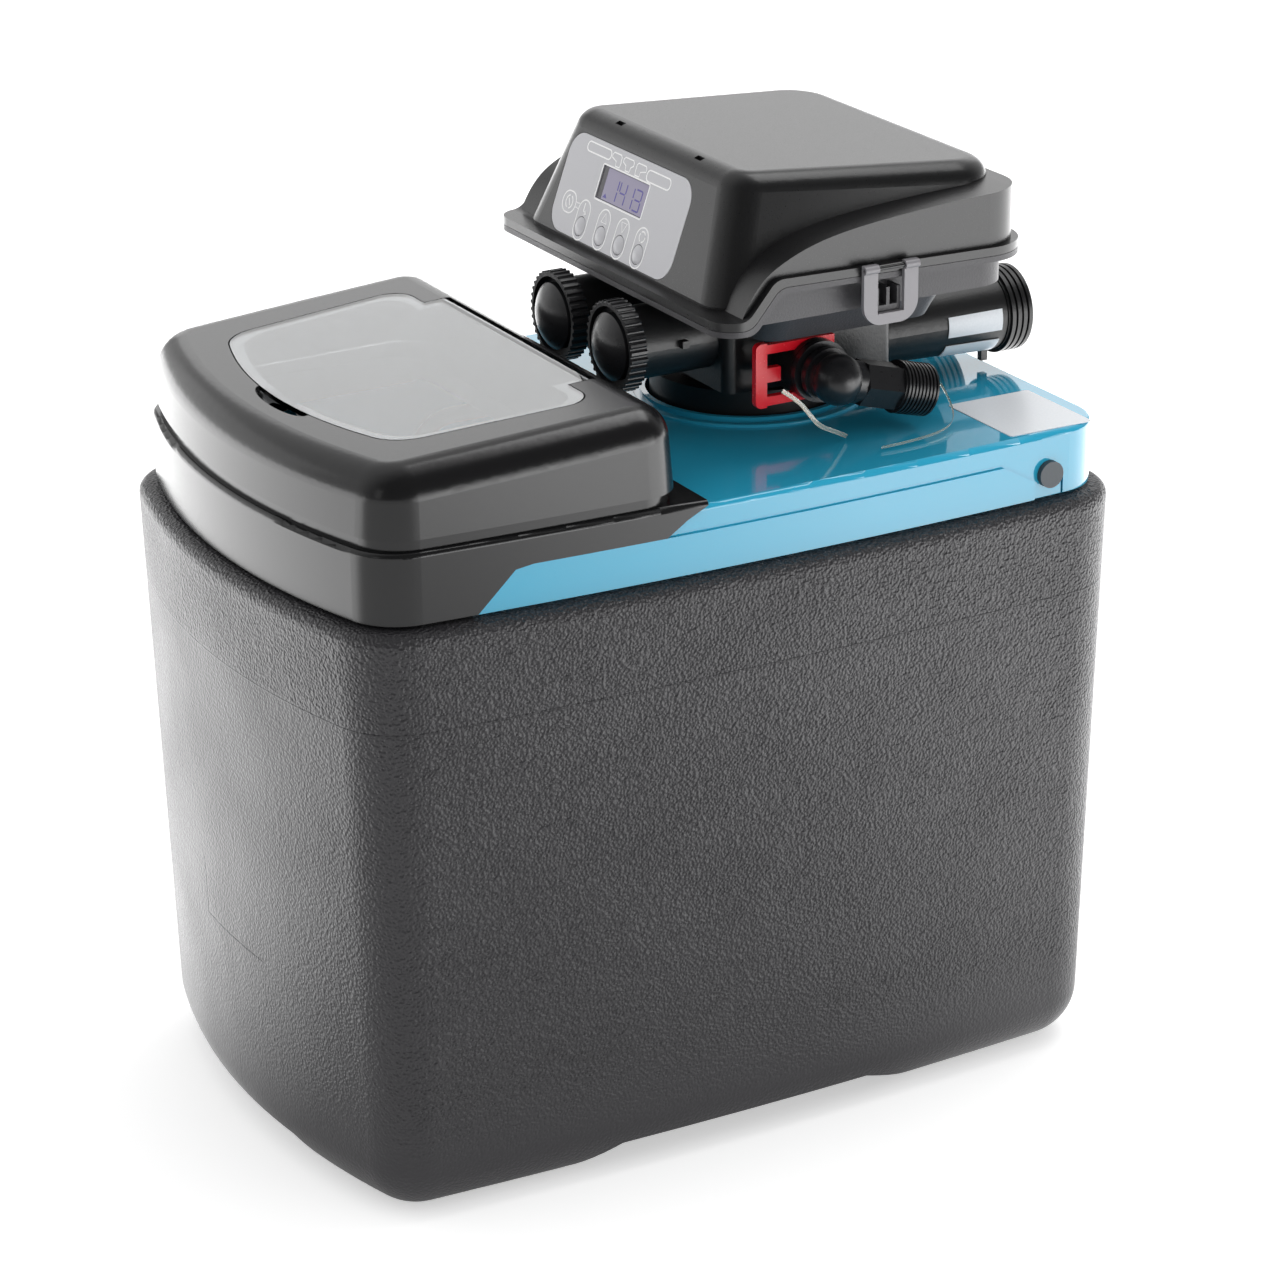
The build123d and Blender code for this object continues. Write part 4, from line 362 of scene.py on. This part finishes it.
def ink_shape(bm, points, out=ink_lift):
    """A thin printed patch inside the points."""
    top = [bm.verts.new(on_film(x, y, out)) for x, y in points]
    low = [bm.verts.new(on_film(x, y, out - ink_depth)) for x, y in points]
    bm.faces.new(top)
    bm.faces.new(low[::-1])
    for number in range(len(points)):
        bm.faces.new((top[number - 1], low[number - 1], low[number], top[number]))


def ink_line(bm, points, width=ink_width, closed=True, out=ink_lift):
    """A thin printed line of that width along the points."""
    count = len(points)
    rails = []
    for number, (x, y) in enumerate(points):
        before = points[number - 1] if closed or number else points[0]
        after = points[(number + 1) % count] if closed or number < count - 1 else points[-1]
        run = Vector((after[0] - before[0], after[1] - before[1])).normalized()
        side = Vector((-run.y, run.x)) * width / 2
        rail = [(x + side.x, y + side.y, out), (x - side.x, y - side.y, out)]
        rail += [(x - side.x, y - side.y, out - ink_depth), (x + side.x, y + side.y, out - ink_depth)]
        rails.append([bm.verts.new(on_film(*corner)) for corner in rail])
    for number in range(count if closed else count - 1):
        one, two = rails[number], rails[(number + 1) % count]
        for corner in range(4):
            bm.faces.new((one[corner - 1], two[corner - 1], two[corner], one[corner]))
    if not closed:
        bm.faces.new(rails[0])
        bm.faces.new(rails[-1][::-1])


def finish_piece(bm, name, material, body):
    """Turns a bmesh into a piece that rides on a body."""
    mesh = bpy.data.meshes.new(name)
    bmesh.ops.recalc_face_normals(bm, faces=bm.faces)
    bm.to_mesh(mesh)
    bm.free()
    mesh.materials.append(material)
    piece = bpy.data.objects.new(name, mesh)
    bpy.context.scene.collection.objects.link(piece)
    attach(piece, body)


def header_field(left, right, tail):
    """Outline of a header field whose tail points down at its own place over the display."""
    high, waist, low = 52.9, 49.2, 46.0
    corner, shoulder, drop = 1.2, 0.8, 0.6
    neck_half, tail_half = 2.6, 2.2
    points = [(left + corner, high), (right - corner, high), (right, high - corner)]
    points += [(right, waist + shoulder), (tail + neck_half, waist - drop), (tail + tail_half, low)]
    points += [(tail - tail_half, low), (tail - neck_half, waist - drop)]
    return points + [(left, waist + shoulder), (left, high - corner)]


# Fields over the display, its frame, and an outline for each key. Places run across and up, and then come
# width, height and corner radius.
hair_ink, thin_ink, bold_ink, frame_ink = 0.5, 0.7, 0.9, 0.95
left_field = (-35.8, 50.4, 26.6, 5.4, 2.6)
right_field = (30.6, 48.9, 25.4, 6.2, 2.8)
tailed_fields = ((-21.2, -11.2, -13.4), (-8.8, 2.4, -2.6), (5.6, 16.2, 8.2))
display_frame = (-1.7, 35.1, 51.6, 19.6, 1.2)
frame_corner_steps = 4
key_middles = (-33.4, -10.7, 10.2, 31.1)
key_up, key_wide, key_high, key_round = 11.2, 12.8, 22.4, 6.3
dial_x, dial_up, dial_wide, dial_high, dial_round = -51.3, 17.5, 14.4, 12.0, 5.9
bm = bmesh.new()
ink_line(bm, pill(*left_field))
ink_line(bm, pill(*right_field))
for left, right, tail in tailed_fields:
    ink_line(bm, header_field(left, right, tail), thin_ink)
ink_line(bm, pill(*display_frame, frame_corner_steps), frame_ink)
for middle in key_middles:
    ink_line(bm, pill(middle, key_up, key_wide, key_high, key_round))
ink_line(bm, pill(dial_x, dial_up, dial_wide, dial_high, dial_round))

# Two short lines beside the round key, and each key's own symbol: enter, up, down, a broken ring of three
# arcs, and a broken ring of two arcs with a slash on the round key.
enter_x, up_x, down_x, ring_x = key_middles
arrow_half = 2.9
up_foot, up_tip = 15.0, 20.4
down_foot, down_tip = 20.0, 14.6
upper_dash = [(-44.6, 19.4), (-42.6, 18.8), (-40.0, 19.2)]
lower_dash = [(-44.6, 15.6), (-42.6, 16.4), (-40.0, 15.8)]
enter_stem = [(enter_x - 0.8, 20.6), (enter_x - 0.8, 16.2), (enter_x + 1.6, 15.4)]
enter_head = [(enter_x + 0.8, 16.9), (enter_x + 2.8, 15.0), (enter_x + 0.4, 13.9)]
ring_up, ring_radius, ring_arc = 17.4, 2.9, 95
dial_radius, dial_arc = 3.6, 150
ink_line(bm, upper_dash, hair_ink, False)
ink_line(bm, lower_dash, hair_ink, False)
ink_line(bm, enter_stem, bold_ink, False)
ink_shape(bm, enter_head)
for middle, foot, tip in ((up_x, up_foot, up_tip), (down_x, down_foot, down_tip)):
    ink_line(bm, [(middle - arrow_half, foot), (middle + arrow_half, foot), (middle, tip)], thin_ink)
for start in (30, 150, 270):
    ink_line(bm, arc(ring_x, ring_up, ring_radius, start, start + ring_arc), ink_width, False)
for start in (100, 280):
    ink_line(bm, arc(dial_x, dial_up, dial_radius, start, start + dial_arc), ink_width, False)
slash = [(dial_x - 1.3, dial_up + 1.9), (dial_x, dial_up), (dial_x + 1.1, dial_up - 1.9)]
ink_line(bm, slash, ink_width, False)
finish_piece(bm, "keypad_print", ink, "cabinet_body")


# Display. A liquid crystal cell behind the film's window. It shows the time of day in seven-segment figures
# and a small pointer at its lower left. A charcoal patch at its left is painted shade, the shadow of the
# recess.
# The cell's glass is smooth and pale violet grey, faintly uneven in tone.
cell_width = 20 * MM
glass_face, tree, place = surface("liquid_crystal_face", "#9b95ae", Roughness=0.12)
cell = add(tree, "ShaderNodeTexNoise", {"Vector": place, "Scale": 1 / cell_width})
shade = add(tree, "ShaderNodeMixRGB",
            {"Fac": cell, "Color1": linear("#958fa8"), "Color2": linear("#a29cb5")})
vary(tree, Base_Color=shade)
dress(glass_face, "lcd")

# Switched-on segments are violet.
twist_width = 3 * MM
segment, tree, place = surface("liquid_crystal_segment", "#544b9e", Roughness=0.12)
twist = add(tree, "ShaderNodeTexNoise", {"Vector": place, "Scale": 1 / twist_width})
violet = add(tree, "ShaderNodeMixRGB",
             {"Fac": twist, "Color1": linear("#4c4398"), "Color2": linear("#5b53a4")})
vary(tree, Base_Color=violet)

# Painted shade: a nearly even charcoal that stands for the recess's shadow on the cell's left edge.
shade_grain_width = 0.7 * MM
recess_shade, tree, place = surface("recess_shadow_painted", "#37353b", Roughness=0.3)
shade_grain = add(tree, "ShaderNodeTexNoise", {"Vector": place, "Scale": 1 / shade_grain_width})
shade_rough = add(tree, "ShaderNodeBump", {"Height": shade_grain, "Strength": 0.05, "Distance": 0.05 * MM})
vary(tree, Normal=shade_rough)

# Segments run between the figures' low, middle and high levels, with a gap where two meet at the middle.
cell_sink = 0.6
cell_top = ink_lift - cell_sink
low, high = 28.0, 39.4
middle = (low + high) / 2
gap = 0.55
segment_width = 0.95
lower, upper = (low, middle - gap), (middle + gap, high)
uprights = [(-7.4, lower), (-7.4, upper), (-5.0, upper), (1.6, lower), (1.6, upper)]
uprights += [(9.8, lower), (9.8, upper), (18.2, lower), (18.2, upper)]
bars = [(-4.4, 1.0, middle), (12.0, 17.6, low), (12.0, 17.6, middle), (12.0, 17.6, high)]
pointer = [(-20.4, 27.6), (-16.2, 27.6), (-18.4, 30.0)]
bm = bmesh.new()
for across, (start, end) in uprights:
    ink_line(bm, [(across, start), (across, end)], segment_width, False, cell_top)
for left, right, level in bars:
    ink_line(bm, [(left, level), (right, level)], segment_width, False, cell_top)
ink_shape(bm, pointer, cell_top)
finish_piece(bm, "display_figures", segment, "cabinet_body")

# The patch of painted shade lies along the cell's left edge, where the recess's wall shades it.
edge_left, edge_right, edge_low, edge_high = -26.7, -21.7, 26.4, 43.9
edge = [(edge_left, edge_low), (edge_right, edge_low), (edge_right, edge_high), (edge_left, edge_high)]
bm = bmesh.new()
ink_shape(bm, edge, cell_top)
finish_piece(bm, "display_painted_shade", recess_shade, "cabinet_body")


# Circuit board. A glass-epoxy board under the cover, screwed to its posts. Its green solder mask shows the
# copper fields below as lighter and darker rectangles.
field_width = 8 * MM
solder_mask, tree, place = surface("epoxy_board_green", "#12512c", Roughness=0.3)
fields = add(tree, "ShaderNodeTexBrick",
             {"Vector": place, "Scale": 1 / field_width, "Color1": linear("#12512c"),
              "Color2": linear("#175f35"), "Mortar": linear("#0c3c20")})
vary(tree, Base_Color=fields)
dress(solder_mask, "circuit_board")


# Knobs, drain elbow and drain clip. The knobs are moulded caps with a fluted ring and the elbow is the same
# glossy black nylon. The clip that holds the elbow is bright red nylon.
gloss_nylon = satin("pa_black_gloss", "#1b1b1d", roughness=0.3, grit=2.4, strength=0.05)
dress(gloss_nylon, "bypass_knob_right", "bypass_knob_left", "drain_elbow")
red_nylon = satin("pa_red_moulded", "#f2172a", roughness=0.24, grit=1.5, strength=0.05)
dress(red_nylon, "drain_clip")


# Strap. Two short ends of a thin ribbon of clear polyester. One comes down from the red clip and the other
# from behind the elbow, both end just over the deck, and both stay with the cabinet.
# Clear film is nearly unseen face on, and its creases and edges catch the light.
crease_width = 5 * MM
strap_film, tree, place = surface("pet_strap_clear", "#f6f4e6", Roughness=0.12, IOR=1.5,
                                  Transmission_Weight=0.75)
crease = add(tree, "ShaderNodeTexNoise", {"Vector": place, "Scale": 1 / crease_width})
creased = add(tree, "ShaderNodeBump", {"Height": crease, "Strength": 0.1, "Distance": 0.3 * MM})
vary(tree, Normal=creased)

strap_wall = 0.2
tail_width, loop_width = 2.2, 1.6
tail_route = [(118, 40, 415), (118, 50, 408), (118, 57, 399), (117, 64, 391), (112, 76, 385),
              (104, 89, 377.4)]
loop_route = [(70, 156, 397), (86, 158, 394), (98, 158, 386), (109, 155, 379), (122, 142, 377.8),
              (128, 118, 377.2), (128, 96, 376.9)]
for name, route, width in (("strap_tail", tail_route, tail_width), ("strap_loop", loop_route, loop_width)):
    curve = bpy.data.curves.new(name, "CURVE")
    curve.dimensions = "3D"
    spline = curve.splines.new("NURBS")
    spline.points.add(len(route) - 1)
    for point, (x, y, z) in zip(spline.points, route):
        point.co = (x * MM, y * MM, z * MM, 1.0)
    spline.order_u = 3
    spline.use_endpoint_u = True
    curve.extrude = width / 2 * MM
    curve.bevel_depth = strap_wall / 2 * MM
    curve.bevel_resolution = 1
    curve.materials.append(strap_film)
    strap = bpy.data.objects.new(name, curve)
    bpy.context.scene.collection.objects.link(strap)
    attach(strap, "cabinet_body")


# Studio floor. White paper with a faint tooth, which the camera sees as pure white outside the object's soft
# shadow. What reflects it sees it glow on the far side of the object, towards -x and towards +y.
tooth_width = 2 * MM
floor_reach = 30
camera_glow = 0.45
glow_x_from, glow_x_full = 50 * MM, -250 * MM
glow_y_from, glow_y_full = 100 * MM, 650 * MM
paper, tree, place = surface("studio_paper", "#f2f2f2", Roughness=0.95, Emission_Color=(1, 1, 1, 1))
tooth = add(tree, "ShaderNodeTexNoise", {"Vector": place, "Scale": 1 / tooth_width})
matt = add(tree, "ShaderNodeBump", {"Height": tooth, "Strength": 0.02, "Distance": 0.1 * MM})
rays = add(tree, "ShaderNodeLightPath").outputs
x, y, z = add(tree, "ShaderNodeSeparateXYZ", {0: place}).outputs
far_glow = add(tree, "ShaderNodeMapRange",
               {"Value": x, "From Min": glow_x_from, "From Max": glow_x_full, "To Min": 0.0, "To Max": 2.6})
rear_glow = add(tree, "ShaderNodeMapRange",
                {"Value": y, "From Min": glow_y_from, "From Max": glow_y_full, "To Min": 0.2, "To Max": 3.0})
mirrored = add(tree, "ShaderNodeMath", {0: far_glow, 1: rear_glow}, operation="MAXIMUM")
mirrored = add(tree, "ShaderNodeMath", {0: rays["Is Glossy Ray"], 1: mirrored}, operation="MULTIPLY")
seen = add(tree, "ShaderNodeMath", {0: rays["Is Camera Ray"], 1: camera_glow}, operation="MULTIPLY")
through = add(tree, "ShaderNodeMath", {0: rays["Is Transmission Ray"], 1: camera_glow}, operation="MULTIPLY")
glow = add(tree, "ShaderNodeMath", {0: mirrored, 1: seen}, operation="ADD")
glow = add(tree, "ShaderNodeMath", {0: glow, 1: through}, operation="ADD")
vary(tree, Normal=matt, Emission_Strength=glow)
corners = [(-floor_reach, -floor_reach, 0), (floor_reach, -floor_reach, 0)]
corners += [(floor_reach, floor_reach, 0), (-floor_reach, floor_reach, 0)]
mesh = bpy.data.meshes.new("studio_floor")
mesh.from_pydata(corners, [], [(0, 1, 2, 3)])
mesh.materials.append(paper)
floor = bpy.data.objects.new("studio_floor", mesh)
bpy.context.scene.collection.objects.link(floor)


# Studio room. The camera sees it white and it lights the object evenly. Gloss and clear plastic see it fade
# from light on the -x side to dark on the +x side, which gives them their dark reflections.
room_light = 0.8
room_dark = 0.1
fade_half = 0.35
room = bpy.data.worlds.new("studio")
bpy.context.scene.world = room
room.use_nodes = True
tree = room.node_tree
rays = add(tree, "ShaderNodeLightPath").outputs
way = add(tree, "ShaderNodeTexCoord").outputs["Generated"]
x, y, z = add(tree, "ShaderNodeSeparateXYZ", {0: way}).outputs
fade = add(tree, "ShaderNodeMapRange", {"Value": x, "From Min": -fade_half, "From Max": fade_half,
                                        "To Min": room_light, "To Max": room_dark})
shown = add(tree, "ShaderNodeMath", {0: rays["Is Glossy Ray"], 1: rays["Is Transmission Ray"]},
            operation="MAXIMUM")
hidden = add(tree, "ShaderNodeMath", {0: 1.0, 1: shown}, operation="SUBTRACT")
faded = add(tree, "ShaderNodeMath", {0: shown, 1: fade}, operation="MULTIPLY")
even = add(tree, "ShaderNodeMath", {0: hidden, 1: room_light}, operation="MULTIPLY")
level = add(tree, "ShaderNodeMath", {0: faded, 1: even}, operation="ADD")
level = add(tree, "ShaderNodeMath", {0: level, 1: rays["Is Camera Ray"]}, operation="MAXIMUM")
background = tree.nodes["Background"]
background.inputs["Color"].default_value = (1, 1, 1, 1)
tree.links.new(level.outputs[0], background.inputs["Strength"])


# Studio lamps. Five soft rectangles of light: to the left, behind, overhead, to the right and in front on the
# left, as the camera sees them. Places and sizes are in metres.
def soft_wall(name, at, towards, size, radiance):
    """A large rectangular lamp of that brightness for its size, aimed at a point."""
    data = bpy.data.lights.new(name, "AREA")
    data.shape = "RECTANGLE"
    data.size = size[0]
    data.size_y = size[1]
    data.energy = radiance * size[0] * size[1]
    lamp = bpy.data.objects.new(name, data)
    lamp.location = at
    lamp.rotation_euler = (Vector(towards) - Vector(at)).to_track_quat("-Z", "Y").to_euler()
    bpy.context.scene.collection.objects.link(lamp)


soft_wall("wall_left", at=(-2.1, -1.3, 0.9), towards=(0, 0, 0.2), size=(2.0, 1.2), radiance=1.6)
soft_wall("wall_back", at=(-2.2, 1.3, 1.3), towards=(0, 0, 0.4), size=(2.6, 1.2), radiance=2.7)
soft_wall("box_top", at=(-0.1, 1.0, 2.3), towards=(0, 0.1, 0.45), size=(1.5, 0.9), radiance=10.0)
soft_wall("wall_right", at=(2.2, 1.2, 0.4), towards=(0.1, 0, 0.4), size=(1.8, 0.75), radiance=8.0)
soft_wall("box_front", at=(1.1, -2.4, 1.2), towards=(0, 0, 0.45), size=(0.5, 1.2), radiance=2.2)


# Camera. It stands at the angle the object was photographed from, with the lens and the slight roll that a
# fit to the photograph's edges gave.
camera_at = (1.8088, -0.9852, 1.0636)
camera_right = Vector((0.4854, 0.8743, 0.0))
camera_up = Vector((-0.3240, 0.1799, 0.9288))
roll = math.radians(-0.467)
camera_data = bpy.data.cameras.new("camera")
camera_data.sensor_width = 36.0
camera_data.lens = 111.41
camera_data.clip_end = 100.0
camera = bpy.data.objects.new("camera", camera_data)
back = camera_right.cross(camera_up)
rolled_right = math.cos(roll) * camera_right + math.sin(roll) * camera_up
rolled_up = -math.sin(roll) * camera_right + math.cos(roll) * camera_up
turn = Matrix((rolled_right, rolled_up, back)).transposed().to_4x4()
camera.matrix_world = Matrix.Translation(camera_at) @ turn
bpy.context.scene.collection.objects.link(camera)
bpy.context.scene.camera = camera
bpy.context.scene.view_settings.view_transform = "Standard"
